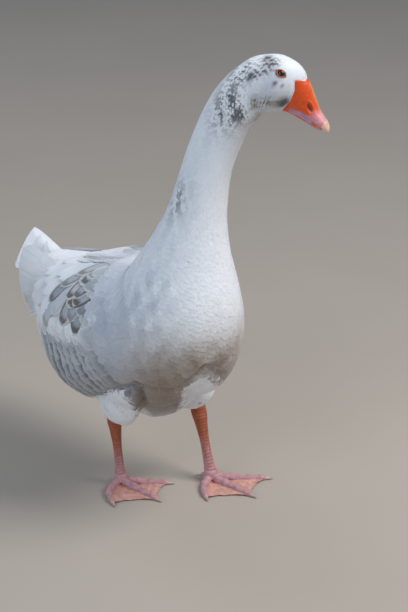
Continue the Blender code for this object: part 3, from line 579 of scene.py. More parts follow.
def plumage(s, phi, colours):
    """Colour of skin and coat at places of the body: white, with the patches laid over it.

    A patch fades out as a Gauss curve both ways, times random waves where it is mottled."""
    points = on_body(s, phi)[0]
    broad, fine = waves(points, 0.024, 3), waves(points, 0.0075, 8)
    streaks = waves(np.stack([STREAK_STATION * s, STREAK_RADIUS * np.cos(phi),
                              STREAK_RADIUS * np.sin(phi)], -1), 0.0052, 12)
    tint = np.array(colours.white) * np.ones(points.shape)
    side = from_top(phi)
    for name, station, degrees, along, around, strength, mottle in PATCHES:
        weight = strength * np.exp(-((s - station) / along) ** 2 - ((side - degrees) / around) ** 2)
        sharp = name in ("crown", "stain")
        grain = (ease(-0.50, 0.60, 0.55 * broad + 0.40 * fine + 0.85 * streaks) if sharp
                 else 0.5 + 0.4 * broad + 0.15 * fine)
        weight = np.clip(weight * (1 - mottle + 1.8 * mottle * grain), 0, 1)
        tint = tinted(tint, getattr(colours, name), weight)
    grey = FLANK_GREY * ease(84, 96, side) * ease(156, 128, side) * ease(2.6, 3.2, s) * ease(4.9, 4.4, s)
    tint = tinted(tint, colours.grey, grey)
    return tinted(tint, colours.white, THIGH_WHITE * white_thigh(s, phi))


# Lines round the thighs' white lobes under the belly: degrees from the top to the lobe's own side,
# and stations; the left lobe's inner line gives stations first
RIGHT_LOBE_REAR = ((133, 139, 148, 156, 178), (4.45, 3.80, 3.35, 3.10, 2.60))
RIGHT_LOBE_FRONT = ((134, 152, 170, 178), (4.82, 4.42, 3.80, 3.55))
LEFT_LOBE_FRONT = ((120, 138, 150, 164, 177, 187, 195), (4.4, 4.85, 5.2, 5.60, 5.92, 5.98, 5.62))
LEFT_LOBE_INNER = ((3.4, 4.3, 4.9, 5.6), (168, 173, 180, 195))


def thigh_lobes(s, phi):
    """1 on the two lobes that the thighs make under the belly, between the creases."""
    turn = np.degrees(np.mod(phi, 2 * math.pi))
    rear, front = (np.interp(360 - turn, *line) for line in (RIGHT_LOBE_REAR, RIGHT_LOBE_FRONT))
    right = ease(-0.10, 0.06, s - rear) * ease(-0.05, 0.07, front - s)
    right = right * ease(228, 225, turn) * ease(182, 188, turn)
    front, inner = np.interp(turn, *LEFT_LOBE_FRONT), np.interp(s, *LEFT_LOBE_INNER)
    left = ease(0.08, -0.08, s - front) * ease(2, -2, turn - inner) * ease(3.0, 3.4, s)
    return np.maximum(right, left * ease(134, 140, turn))


def white_thigh(s, phi):
    """1 where the plumage is white over a thigh or on its lobe, and 0 away from them."""
    return np.maximum(on_thigh(on_body(s, phi)[0]), thigh_lobes(s, phi))


def on_thigh(points):
    """1 up to a fifth of its radii outside a thigh's ellipsoid, and 0 from a third outside."""
    away = [np.linalg.norm((points - place([x, -forward, z])) / radii, axis=-1)
            for (x, forward, z), radii in THIGHS]
    return ease(1.34, 1.22, np.minimum(*away))


# The folded wing: station, degrees round of its upper and lower edge, and its stand off the body
WING_EDGE = np.array((
    (1.30, 18, 86, 0.0030),
    (2.00, 9, 92, 0.0048),
    (3.00, 9, 96, 0.0080),
    (4.00, 16, 95, 0.0100),
    (4.80, 30, 91, 0.0080),
    (5.15, 54, 80, 0.0030),
))


def wing_stand(s, phi):
    """How far the folded wing stands off the body, falling away towards its edges."""
    s, phi = np.broadcast_arrays(np.asarray(s, float), np.asarray(phi, float))
    side = from_top(phi)
    top, low, stand = (smooth(WING_EDGE[:, 0], c, s) for c in WING_EDGE.T[1:])
    share = (side - top) / (low - top)
    inside = ease(-0.16, 0.10, share) * ease(1.16, 0.90, share)
    ends = ease(1.15, 1.5, s) * ease(5.45, 5.0, s)
    return stand * ends * inside * (1 - 0.4 * np.abs(2 * np.clip(share, 0, 1) - 1) ** 4)


def coat_depth(s, sizes):
    """Depth of the skin under the tips of the coat, from tail to bill."""
    body, neck, face = sizes.body_depth, sizes.neck_depth, sizes.face_depth
    return smooth((0, 6.5, 9, 12.5, 14.5, 16, 18), (body, body, neck, neck, face * 2.2, face, face), s)


def eye_frame(side):
    """The eye's middle, and its axes forward, up along the lids, and out of the head."""
    a, n, s = head_axes()
    out = side * s * math.cos(EYE_TILT) + n * math.sin(EYE_TILT)
    up = n * math.cos(EYE_TILT) - side * s * math.sin(EYE_TILT)
    return head_point(EYE_ALONG, EYE_RISE, side * EYE_SIDE), a, up, out


def from_eye(points):
    """How far points are from the nearer eye's middle, in lengths of its lid's opening."""
    near = np.full(points.shape[:-1], 9.0)
    for side in (-1, 1):
        centre, ahead, up, out = eye_frame(side)
        away = points - centre
        oval = np.hypot(away @ ahead / LID_HALF_LENGTH, away @ up / LID_HALF_HEIGHT)
        near = np.where(away @ out > 0, np.minimum(near, oval), near)
    return near


def add_node(tree, kind, settings=None, **links):
    """Adds a node with its settings and gives its outputs.

    A link is a socket's name, or i and its number, and what feeds it: a value or an output."""
    node = tree.nodes.new("ShaderNode" + kind)
    for key, value in (settings or {}).items():
        setattr(node, key, value)
    for key, value in links.items():
        by_number = key[0] == "i" and key[1:].isdigit()
        socket = node.inputs[int(key[1:]) if by_number else key.replace("_", " ")]
        if isinstance(value, bpy.types.NodeSocket):
            tree.links.new(value, socket)
        else:
            socket.default_value = value
    return node.outputs


def new_material(name, **sockets):
    """The tree and shader of a new material, with constants set on the shader's own sockets."""
    material = bpy.data.materials.new(name)
    material.use_nodes = True
    shader = material.node_tree.nodes["Principled BSDF"]
    for key, value in sockets.items():
        shader.inputs[key.replace("_", " ")].default_value = value
    return material.node_tree, shader


# Settings of the nodes that the materials are made of
COLOUR_MIX, COLOUR_PRODUCT = ({"data_type": "RGBA", "blend_type": mode} for mode in ("MIX", "MULTIPLY"))
SMOOTH_STEP = {"interpolation_type": "SMOOTHSTEP"}
SUM, DIFFERENCE, PRODUCT, ABSOLUTE, SINE = (
    {"operation": name} for name in ("ADD", "SUBTRACT", "MULTIPLY", "ABSOLUTE", "SINE"))
PLUMAGE, MARKS, VANE = ({"attribute_name": name} for name in ("plumage", "marks", "vane"))


def finish(tree, shader, base, strength, relief, height, value=None):
    """Links a base colour, times a value where one is given, and bumps of a height to the shader."""
    if value is not None:
        grey = add_node(tree, "CombineColor", i0=value, i1=value, i2=value)[0]
        base = add_node(tree, "Mix", COLOUR_PRODUCT, i0=1.0, i6=base, i7=grey)[2]
    tree.links.new(base, shader.inputs["Base Color"])
    bump = add_node(tree, "Bump", Strength=strength, Distance=relief, Height=height)[0]
    tree.links.new(bump, shader.inputs["Normal"])


# How much the barbs and the clouds over a vane lighten and darken it
BARB_TONE, UNEVEN_TONE = 0.035, 0.16


def feather_vane(name, colours, fringe, barbs, roughness, relief, hidden):
    """Keratin vanes of contour and flight feathers, grown as barbs hooked side by side.

    That gives a soft, nearly matt sheen, a fine slant to both sides of the shaft, painted
    shade on the hidden half, and the bands and pale fringes that the attribute marks asks
    for. A real barb is about 0.4 mm wide, too fine to show here, so barbs counts coarser ones."""
    tree, shader = new_material(name, Roughness=roughness, Sheen_Weight=0.25, Sheen_Roughness=0.5,
                                Specular_IOR_Level=0.3, IOR=1.54)
    add = partial(add_node, tree)
    marks = add("Attribute", MARKS)
    bands, fringes, shafts = add("SeparateColor", i0=marks["Color"])
    along, across, rim = add("SeparateXYZ", i0=add("Attribute", VANE)["Vector"])
    side = add("Math", ABSOLUTE, i0=across)[0]

    # Barbs: a sine along the shaft that lags to both sides of it
    lag = add("Math", PRODUCT, i0=side, i1=0.22)[0]
    slant = add("Math", DIFFERENCE, i0=along, i1=lag)[0]
    rows = add("Math", PRODUCT, i0=slant, i1=barbs * 2 * math.pi)[0]
    random = add("Math", PRODUCT, i0=marks["Alpha"], i1=40.0)[0]
    barb = add("Math", SINE, i0=add("Math", SUM, i0=rows, i1=random)[0])[0]

    # Clouds drawn out along the vane, other ones on each
    drawn_out = add("Math", PRODUCT, i0=along, i1=0.25)[0]
    where = add("CombineXYZ", X=drawn_out, Y=across, Z=random)[0]
    uneven = add("TexNoise", Vector=where, Scale=7.0, Detail=3.0)["Fac"]

    # Painted shade on the hidden half, then the band inside the tip, the fringe round the rim and the shaft's
    # streak
    rear = add("MapRange", SMOOTH_STEP, Value=along, From_Min=0.75, From_Max=0.35, To_Max=hidden)[0]
    base = add("Attribute", PLUMAGE)["Color"]
    base = add("Mix", COLOUR_MIX, i0=rear, i6=base, i7=(*colours.shade, 1.0))[2]
    ragged = add("Math", PRODUCT, i0=uneven, i1=0.12)[0]
    inward = add("Math", SUM, i0=rim, i1=ragged)[0]
    outer = add("MapRange", SMOOTH_STEP, Value=inward, From_Min=0.30, From_Max=0.38)[0]
    inner = add("MapRange", SMOOTH_STEP, Value=inward, From_Min=0.66, From_Max=0.50)[0]
    fore = add("MapRange", SMOOTH_STEP, Value=along, From_Min=0.32, From_Max=0.55)[0]
    band = add("Math", PRODUCT, i0=add("Math", PRODUCT, i0=outer, i1=inner)[0], i1=fore)[0]
    band = add("Math", PRODUCT, i0=band, i1=bands)[0]
    base = add("Mix", COLOUR_MIX, i0=band, i6=base, i7=(*colours.brown, 1.0))[2]
    edge = add("MapRange", SMOOTH_STEP, Value=inward, From_Min=0.36, From_Max=0.22)[0]
    edge = add("Math", PRODUCT, i0=edge, i1=fringes)[0]
    base = add("Mix", COLOUR_MIX, i0=edge, i6=base, i7=(*fringe, 1.0))[2]
    shaft = add("MapRange", SMOOTH_STEP, Value=side, From_Min=0.09, From_Max=0.02)[0]
    shaft = add("Math", PRODUCT, i0=shaft, i1=shafts)[0]
    base = add("Mix", COLOUR_MIX, i0=shaft, i6=base, i7=(*colours.crown, 1.0))[2]

    # Tone and relief of barbs and clouds
    barb_tone = add("Math", PRODUCT, i0=barb, i1=BARB_TONE)[0]
    cloud = add("Math", DIFFERENCE, i0=uneven, i1=0.5)[0]
    cloud = add("Math", PRODUCT, i0=cloud, i1=UNEVEN_TONE)[0]
    tone = add("Math", SUM, i0=barb_tone, i1=cloud)[0]
    swell = add("Math", PRODUCT, i0=uneven, i1=3.0)[0]
    height = add("Math", SUM, i0=barb, i1=swell)[0]
    finish(tree, shader, base, 0.5, relief, height, add("Math", SUM, i0=tone, i1=1.0)[0])


def down_skin(name, colours):
    """Down over bare skin, a felt of loose barbs that gives a matt, blurred ground."""
    tree, shader = new_material(name, Roughness=0.95, Sheen_Weight=0.4, Specular_IOR_Level=0.2)
    add = partial(add_node, tree)
    felt = add("TexNoise", Vector=add("TexCoord")["Object"], Scale=1 / (2.5 * MM), Detail=4.0)["Fac"]
    shadow = add("MapRange", SMOOTH_STEP, Value=felt, From_Min=0.3, From_Max=0.7,
                 To_Min=0.15, To_Max=0.45)[0]
    base = add("Mix", COLOUR_MIX, i0=shadow, i6=add("Attribute", PLUMAGE)["Color"],
               i7=(*colours.shade, 1.0))[2]
    finish(tree, shader, base, 0.6, 0.6 * MM, felt)


def horn_skin(name, roughness, grain, relief, coat=0.0):
    """Soft horn over bone, grown in thin layers, which gives a satin face with fine pits and a
    cloudy colour under it; its own colours come from the attribute plumage."""
    tree, shader = new_material(name, Roughness=roughness, IOR=1.54, Coat_Weight=coat, Coat_Roughness=0.25,
                                Subsurface_Weight=0.12, Subsurface_Scale=1.5 * MM)
    add = partial(add_node, tree)
    where = add("TexCoord")["Object"]
    cloud = add("TexNoise", Vector=where, Scale=1 / (6 * MM), Detail=3.0)["Fac"]
    pits = add("TexNoise", Vector=where, Scale=1 / grain, Detail=5.0)["Fac"]
    value = add("MapRange", SMOOTH_STEP, Value=cloud, From_Min=0.25, From_Max=0.75,
                To_Min=0.86, To_Max=1.12)[0]
    satin = add("MapRange", SMOOTH_STEP, Value=pits, From_Min=0.2, From_Max=0.8,
                To_Min=roughness - 0.08, To_Max=roughness + 0.12)[0]
    tree.links.new(satin, shader.inputs["Roughness"])
    finish(tree, shader, add("Attribute", PLUMAGE)["Color"], 0.4, relief, pits, value)


def scaly_skin(name, scale, roughness):
    """Leathery skin of a water bird's leg, set with small horny scales like cobbles, which
    gives a satin face netted with darker seams."""
    tree, shader = new_material(name, Roughness=roughness, IOR=1.5, Subsurface_Weight=0.10,
                                Subsurface_Scale=1.5 * MM)
    add = partial(add_node, tree)
    where = add("TexCoord")["Object"]
    net = add("TexVoronoi", {"feature": "DISTANCE_TO_EDGE"}, Vector=where, Scale=1 / scale)["Distance"]
    cloud = add("TexNoise", Vector=where, Scale=1 / (9 * MM), Detail=4.0)["Fac"]
    seam = add("MapRange", SMOOTH_STEP, Value=net, From_Min=0.0, From_Max=0.14)[0]
    shade = add("MapRange", SMOOTH_STEP, Value=seam, To_Min=0.66, To_Max=1.0)[0]
    stain = add("MapRange", SMOOTH_STEP, Value=cloud, From_Min=0.25, From_Max=0.75,
                To_Min=0.80, To_Max=1.15)[0]
    value = add("Math", PRODUCT, i0=shade, i1=stain)[0]
    finish(tree, shader, add("Attribute", PLUMAGE)["Color"], 0.7, 0.35 * MM, seam, value)


def wet_eye(name):
    """A wet eyeball, smooth and clear in front, which gives a dark mirror and a sharp glint."""
    tree, shader = new_material(name, Roughness=0.12, IOR=1.376, Coat_Weight=1.0, Coat_Roughness=0.02,
                                Coat_IOR=1.376)
    tree.links.new(add_node(tree, "Attribute", PLUMAGE)["Color"], shader.inputs["Base Color"])


def materials():
    """The goose's materials by name, made at the first call."""
    if "contour feather" not in bpy.data.materials:
        colours = bpy.context.scene.goose_colours
        feather_vane("contour feather", colours, colours.white, 14, 0.80, 0.05 * MM, 0.12)
        feather_vane("flight feather", colours, colours.fringe, 44, 0.62, 0.08 * MM, 0.30)
        down_skin("down", colours)
        horn_skin("bill horn", 0.40, 0.9 * MM, 0.12 * MM, 0.15)
        horn_skin("nail horn", 0.34, 0.7 * MM, 0.06 * MM, 0.2)
        scaly_skin("leg scales", 1.9 * MM, 0.50)
        scaly_skin("web skin", 1.3 * MM, 0.52)
        wet_eye("wet eye")
    return bpy.data.materials


def with_random(marks, count, rng):
    """The marks of a number of vanes with a random number each as their fourth value."""
    marks = np.broadcast_to(np.asarray(marks, float), (count, 3))
    return np.concatenate([marks, rng.uniform(size=(count, 1))], 1)[:, None, None]


# How far vanes differ from each other: their lie in radians, and shares of their length or width
LIE_SPREAD, SIZE_SPREAD, RIM_SPREAD, END_SPREAD, TILT_SPREAD = 0.05, 0.08, 0.03, 0.008, 0.006
# Shape of a vane on the body: the powers by which it rises out of the down and lifts at its tip
RISE_POWER, LIFT_POWER = 0.8, 1.5
# Degrees from the top over which the lie fades in, and the least length of a station as a share
# of its mean length round the body
LIE_FADE, LEAST_STATION = 12, 0.45


def dress(name, s, phi, lie, size, wide, depth, lift, tints, marks, seed, rows, columns, tone=0.06,
          material="contour feather", over=0.0, thick=None, slot="body_plumage", root=0.45,
          camber=0.018, tip=0.62):
    """Lays a vane at each root, given as stations and turns, and joins them into one piece.

    A vane runs tailwards from its root, turned by the angle lie towards the belly. Its points
    are steps along and across it, turned into steps of station and turn by the metres that
    those are long there. It rises from the depth of the down to the lift of its tip, and falls
    off across itself as a parabola."""
    rng = np.random.default_rng(seed)
    count = len(s)
    lie = lie * np.ones(count) + rng.normal(0, LIE_SPREAD, count)
    size = size * rng.uniform(1 - SIZE_SPREAD, 1 + SIZE_SPREAD, count)
    along, across = vane_grid(rows, columns, root, float(np.mean(wide / size)), tip)
    ragged = 1 + rng.normal(0, RIM_SPREAD, (count, rows, 1))
    _, _, long, around = on_body(s, phi)
    row = np.round(s / LAST * (CHART_ROWS - 1)).astype(int)
    long = np.maximum(long, LEAST_STATION * CHART[row, :, 6].mean(axis=1))
    side = np.where(phi < 0, -1.0, 1.0) * np.minimum(np.abs(np.degrees(phi)) / LIE_FADE, 1)
    cast = (s, phi, lie * side, size, wide, depth, lift, over, long, around)
    at, turn, lie, size, wide, depth, lift, over, long, around = (
        (v * np.ones(count))[:, None, None] for v in cast)
    c, q = np.cos(lie), np.sin(lie)
    a = (along[None] + rng.normal(0, END_SPREAD, (count, 1, columns)) * along[None]) * size
    b = across[None] * ragged * wide
    at, turn = at - (a * c + b * q) / long, turn + (a * q - b * c) / around
    points, normals, _, _ = on_body(at, turn)
    u, t = np.linspace(-1, 1, columns), along[None]
    height = -depth * (1 - t) ** RISE_POWER + lift * t ** LIFT_POWER + over
    height = height - camber * wide * u ** 2 + rng.normal(0, TILT_SPREAD, count)[:, None, None] * wide * u
    upper = points + normals * (height + wing_stand(at, turn))[..., None]
    tints = tints[:, None, None] if tints.ndim == 2 else tints
    tints = np.clip(tints * (1 + rng.normal(0, tone, count)[:, None, None, None]), 0, 1)
    thick = thick or bpy.context.scene.goose_sizes.vane_thickness
    mesh = join_vanes(name, upper, normals, thick, t, tints, with_random(marks, count, rng),
                      chart_place(s, phi))
    set_piece(mesh, material)


# Spacing of the coat's roots as a share of a feather's length, and their jitter as one of that
ROOT_SPACING, ROOT_JITTER = 0.22, 0.22


def staggered(first, last, sizes, seed):
    """Roots in rows round the body, each row set off by half a step from the one before.

    Rows and places in a row are a share of a feather's length apart, evenly in metres, and
    jittered by a share of that spacing."""
    rng = np.random.default_rng(seed)
    phi = np.radians(np.linspace(-180, 180, CHART_TURNS))
    stations, places = [], []
    s = first
    while s < last:
        _, _, long, wide = on_body(s, (phi[1:] + phi[:-1]) / 2)
        walked = np.concatenate([[0], np.cumsum(wide * np.diff(phi))])
        spacing = ROOT_SPACING * float(feather_length(s, sizes))
        count = max(int(round(walked[-1] / spacing)), 3)
        step = walked[-1] / count
        at = (np.arange(count) + (0.5 if len(stations) % 2 else 0.0) + 0.25
              + rng.normal(0, ROOT_JITTER, count)) * step
        row = spacing / float(np.mean(long))
        stations.append(s + rng.normal(0, ROOT_JITTER, count) * row)
        places.append(np.interp(np.clip(at, 0, walked[-1]), walked, phi))
        s += row
    return np.concatenate(stations), np.concatenate(places)


# Length of the feathers from the base of the neck to the bill, by station
NECK_FEATHERS = {8: 0.024, 9: 0.018, 10: 0.014, 12: 0.0105, 13: 0.0085, 14: 0.0068, 15: 0.0056,
                 16: 0.0046, 17: 0.0038, 18: 0.0030}


def feather_length(s, sizes):
    """Length of the coat's feathers from tail to bill."""
    breast, flank = sizes.breast_feather, sizes.flank_feather
    return smooth((0, 2, 4, 6, 7, *NECK_FEATHERS),
                  (flank * 0.8, flank, flank, breast, breast * 0.85, *NECK_FEATHERS.values()), s)


# Pit in the skin behind an eyeball: its depth, and its size in openings of the lid
EYE_PIT, EYE_PIT_SIZE = 0.0075, 1.12


class SCENE_OT_goose_skin(bpy.types.Operator):
    """One skin over torso, neck, head and thighs, under the coat"""
    bl_idname = "scene.goose_skin"
    bl_label = "Skin"

    def execute(self, context):
        """The chart's surface, sunk by the coat's depth, with a pit behind each eyeball."""
        sizes, colours = context.scene.goose_sizes, context.scene.goose_colours
        s = np.concatenate([np.linspace(0, 12.5, 150, endpoint=False), np.linspace(12.5, LAST, 190)])
        phi = np.linspace(-math.pi, math.pi, 144, endpoint=False)
        at, turn = np.meshgrid(s, phi, indexing="ij")
        points, normals, _, _ = on_body(at, turn)
        pit = EYE_PIT * np.exp(-(from_eye(points) / EYE_PIT_SIZE) ** 6)
        points = points - normals * (coat_depth(at, sizes) + pit)[..., None]
        set_piece(tube("skin", points, plumage(at, turn, colours)), "down",
                  ("torso", "neck", "head", "thigh_left", "thigh_right"))
        return {"FINISHED"}


# Bands of the coat: name, first and last station, seed, and steps along and across a vane
BANDS = (
    ("rump", 0.1, 2.6, 11, 6, 5), ("flanks", 2.6, 4.9, 12, 6, 5), ("breast", 4.9, 6.9, 13, 6, 5),
    ("crop", 6.9, 8.6, 17, 5, 5), ("neck", 8.6, 12.2, 14, 4, 3), ("nape", 12.2, 14.6, 15, 4, 3),
    ("cheeks", 14.6, 16.0, 16, 4, 3), ("face", 16.0, 17.95, 18, 4, 3),
)
# Depth of the roots at most, lift over the front of the wing, and shares of a feather's length
# for its width, for its tip's lift and for how much shorter it is over a thigh
COAT_ROOT_DEPTH, COLLAR_LIFT = 0.0014, 0.0020
COAT_ASPECT, COAT_LIFT, THIGH_SHORTER = 0.62, 0.004, 0.45
# Openings of the lid that feathers keep clear of, from the eye's middle
EYE_CLEAR = 1.30

# Rows of barred feathers on the flanks: first and last station, how far apart, degrees from the
# top and how far apart, then their length, width, depth at the root, lift of the tip and lie
FLANK_FIRST, FLANK_LAST, FLANK_BAR = 2.6, 4.95, 0.22
FLANK_TOP, FLANK_BOTTOM, FLANK_STEP = 84, 152, 3.6
FLANK_VANE, FLANK_WIDTH, FLANK_DEPTH, FLANK_LIFT = 0.044, 0.026, 0.0024, 0.0007
FLANK_LIE, FLANK_TIP = math.radians(12), 0.28
FLANK_STEPS = (8, 7)

# Where the bare bill begins: share round from the culmen to the gape, and place along the head
BORDER = ((0.0, 0.0345), (0.125, 0.0325), (0.27, 0.0286), (0.38, 0.0240), (0.44, 0.0198), (0.50, 0.0222),
          (0.57, 0.0258), (0.70, 0.0284), (0.84, 0.0310), (1.0, 0.0330))
BORDER_TURNS = 128.0


def wing_front(side):
    """Station at which the breast's feathers end over the wing, for degrees from the top."""
    return np.interp(side, (14, 20, 50, 67, 88), (3.9, 4.15, 4.55, 4.45, 4.7))


def bill_border(phi):
    """Station at which the feathers end against the bill, for a turn round the head."""
    along = smooth(*np.array(BORDER).T, from_top(phi) / BORDER_TURNS)
    return smooth((-0.004, 0.013, 0.024, 0.033), (15, 16, 17, 18), along)


class SCENE_OT_goose_coat(bpy.types.Operator):
    """Contour feathers of the body, neck and head"""
    bl_idname = "scene.goose_coat"
    bl_label = "Body coat"

    def execute(self, context):
        """Staggered rows of vanes, shorter and closer from the tail to the bill."""
        sizes, colours = context.scene.goose_sizes, context.scene.goose_colours
        for name, first, last, seed, rows, columns in BANDS:
            s, phi = staggered(first, last, sizes, seed)
            side = from_top(phi)
            points, _, long, _ = on_body(s, phi)
            size = feather_length(s, sizes) * (1 - THIGH_SHORTER * on_thigh(points))
            depth = np.minimum(coat_depth(s, sizes) * 0.75, COAT_ROOT_DEPTH)
            lie = np.radians(np.interp(side, (0, 60, 130, 180), (0, 14, 16, 0)))
            tip = s - size * np.cos(lie) / long
            under_wing = (s > 1.5) & (s < 5.95) & (side > 18) & (side < 84) & (tip < wing_front(side))
            barred = (s > FLANK_FIRST + 0.25) & (s < FLANK_LAST) & (side > 92) & (side < 140)
            tips = on_body(s - size / long, phi)[0]
            near_eye = np.minimum(from_eye(points), from_eye(tips)) < EYE_CLEAR
            on_bill = (s > 16.6) & (s > bill_border(phi))
            keep = ~(under_wing | barred | near_eye | on_bill)
            s, phi, side, size, depth, lie = (v[keep] for v in (s, phi, side, size, depth, lie))
            dark = ease(11.4, 12.0, s) * ease(13.2, 12.6, s) * ease(24, 50, side) * ease(130, 100, side)
            dark = dark * (np.random.default_rng(seed + 40).uniform(size=len(s)) < 0.5)
            marks = np.stack([0.9 * dark, 0.06 + 0 * s, 0 * s], 1)
            collar = ease(4.3, 4.7, s) * ease(6.7, 6.0, s) * ease(16, 26, side) * ease(100, 90, side)
            dress(f"coat_{name}", s, phi, lie, size, size * COAT_ASPECT, depth, size * COAT_LIFT,
                  plumage(s, phi, colours), marks, seed, rows, columns, tone=0.02,
                  over=COLLAR_LIFT * collar, camber=0.010,
                  slot="neck_plumage" if first > 8 else "body_plumage")
        self.flanks(colours)
        return {"FINISHED"}

    def flanks(self, colours):
        """Rows of broad grey vanes on the flanks, whose pale tips line up as upright bars."""
        rng = np.random.default_rng(23)
        stations = np.arange(FLANK_FIRST, FLANK_LAST, FLANK_BAR)
        s, side = (v.ravel() for v in np.meshgrid(
            stations, np.arange(FLANK_TOP, FLANK_BOTTOM, FLANK_STEP), indexing="ij"))
        odd_row = np.repeat(np.arange(len(stations)) % 2, len(s) // len(stations))
        for sign, word in ((-1, "right"), (1, "left")):
            at = s + 0.05 * np.sin(side / 9 + sign) + rng.normal(0, 0.010, len(s))
            turn = side + rng.normal(0, 0.5, len(s)) + FLANK_STEP / 2 * odd_row
            phi = sign * np.radians(turn)
            dusk = ease(86, 98, side) * ease(152, 136, side) * ease(2.7, 3.3, s) * ease(5.0, 4.6, s)
            dusk = dusk * (1 - white_thigh(at, phi))
            tint = tinted(plumage(at, phi, colours), colours.grey, 0.7 * dusk)
            tint = tinted(tint, colours.crown, 0.78 * dusk)
            # Painted shade: the flank's vanes turn browner towards the belly
            tint = tinted(tint, colours.brown, 0.45 * dusk * ease(100, 130, side))
            tint = tinted(tint, colours.white, 0.8 * (1 - ease(84, 92, side)))
            share = vane_grid(*FLANK_STEPS, 0.45, FLANK_WIDTH / FLANK_VANE, FLANK_TIP)[0]
            pale_tip = dusk * np.interp(side, (84, 110, 150), (0.75, 0.40, 0.22))
            tint = tinted(tint[:, None, None], colours.white,
                          ease(0.66, 0.90, share) * pale_tip[:, None, None])
            dress(f"coat_flank_{word}", at, phi, FLANK_LIE, FLANK_VANE, FLANK_WIDTH, FLANK_DEPTH, FLANK_LIFT,
                  tint, (0.0, 0.1, 0.1), 25 + sign, *FLANK_STEPS, tone=0.02, tip=FLANK_TIP)


# Rear edge of the grey feathers over the wing: degrees from the top, and station
GREY_EDGE = ((0, 3.5), (12, 2.95), (25, 3.00), (50, 3.30), (67, 2.95), (94, 2.75))
# Lattice of the feathers over the wing: its middle station, its lie, its first and last row and
# place, the metres between them, their jitter, and the metres that stations and radians count for
WING_MIDDLE = 4.0
WING_LIE = math.radians(60)
WING_ROWS, WING_PLACES = (-6, 10.0), (-16, 22.0)
WING_ROW, WING_PLACE, WING_JITTER = 0.040, 0.019, 0.10
WING_STATION, WING_RADIUS = 0.070, 0.130
# Depth at the root and lift of the tip of those feathers
COVER_DEPTH, COVER_LIFT = 0.0022, 0.0016
# The bed under them: first and last station, depth under the wing's stand, and thickness
WING_BED = (1.35, 5.05)
WING_BED_DEPTH, WING_BED_THICKNESS = 0.0022, 0.004

# Primaries: station and degrees round of the root; left, forward and up of the tip, right wing
PRIMARIES = np.array((
    (2.10, 36, 0.040, -0.398, 0.3240),
    (2.08, 49, 0.052, -0.386, 0.3080),
    (2.06, 62, 0.064, -0.362, 0.2890),
    (2.04, 75, 0.075, -0.328, 0.2680),
    (2.45, 88, 0.083, -0.292, 0.2500),
))
# How many are spread over those rows, their width, for how much of a station their paths follow
# the body, how deep their roots lie, the way that the left wing's tips face, roll and camber
PRIMARY_COUNT, PRIMARY_WIDTH = 27, 0.026
PRIMARY_BOW, PRIMARY_SINK = 0.48, 0.0012
PRIMARY_FACE = (0.8, 0.1, 0.6)
VANE_ROLL, VANE_CAMBER = 0.08, 0.06
# The left wing lies this much lower over the rump
FAR_WING_DROP = 0.022


# Vanes in the air: steps along and across, width at the root, and how far tips, rims and tones vary
QUILL_STEPS, QUILL_ROOT = (14, 7), 0.35
QUILL_END_SPREAD, QUILL_RIM_SPREAD, QUILL_TONE_SPREAD = 0.003, 0.03, 0.04


def free_vanes(name, lines, lie, width, tints, marks, roots, seed):
    """Vanes in the air: one for each line, as long as the line and as wide as width.

    The function lie turns shares along the vanes and metres across them into points and
    normals. The rim of a vane is a little ragged."""
    rng = np.random.default_rng(seed)
    count = len(lines)
    reach = np.linalg.norm(np.diff(lines, axis=1), axis=-1).sum(axis=1)
    rows, columns = QUILL_STEPS
    along, across = vane_grid(rows, columns, QUILL_ROOT, float(np.mean(width / reach)))
    along = along[None] + rng.normal(0, QUILL_END_SPREAD, (count, 1, columns)) * along[None]
    out = across[None] * width * (1 + rng.normal(0, QUILL_RIM_SPREAD, (count, rows, 1)))
    upper, normals = lie(along, out)
    tints = np.clip(tints * (1 + rng.normal(0, QUILL_TONE_SPREAD, (count, 1))), 0, 1)[:, None, None]
    mesh = join_vanes(name, upper, normals, bpy.context.scene.goose_sizes.flight_thickness, along, tints,
                      with_random(marks, count, rng), roots)
    set_piece(mesh, "flight feather")


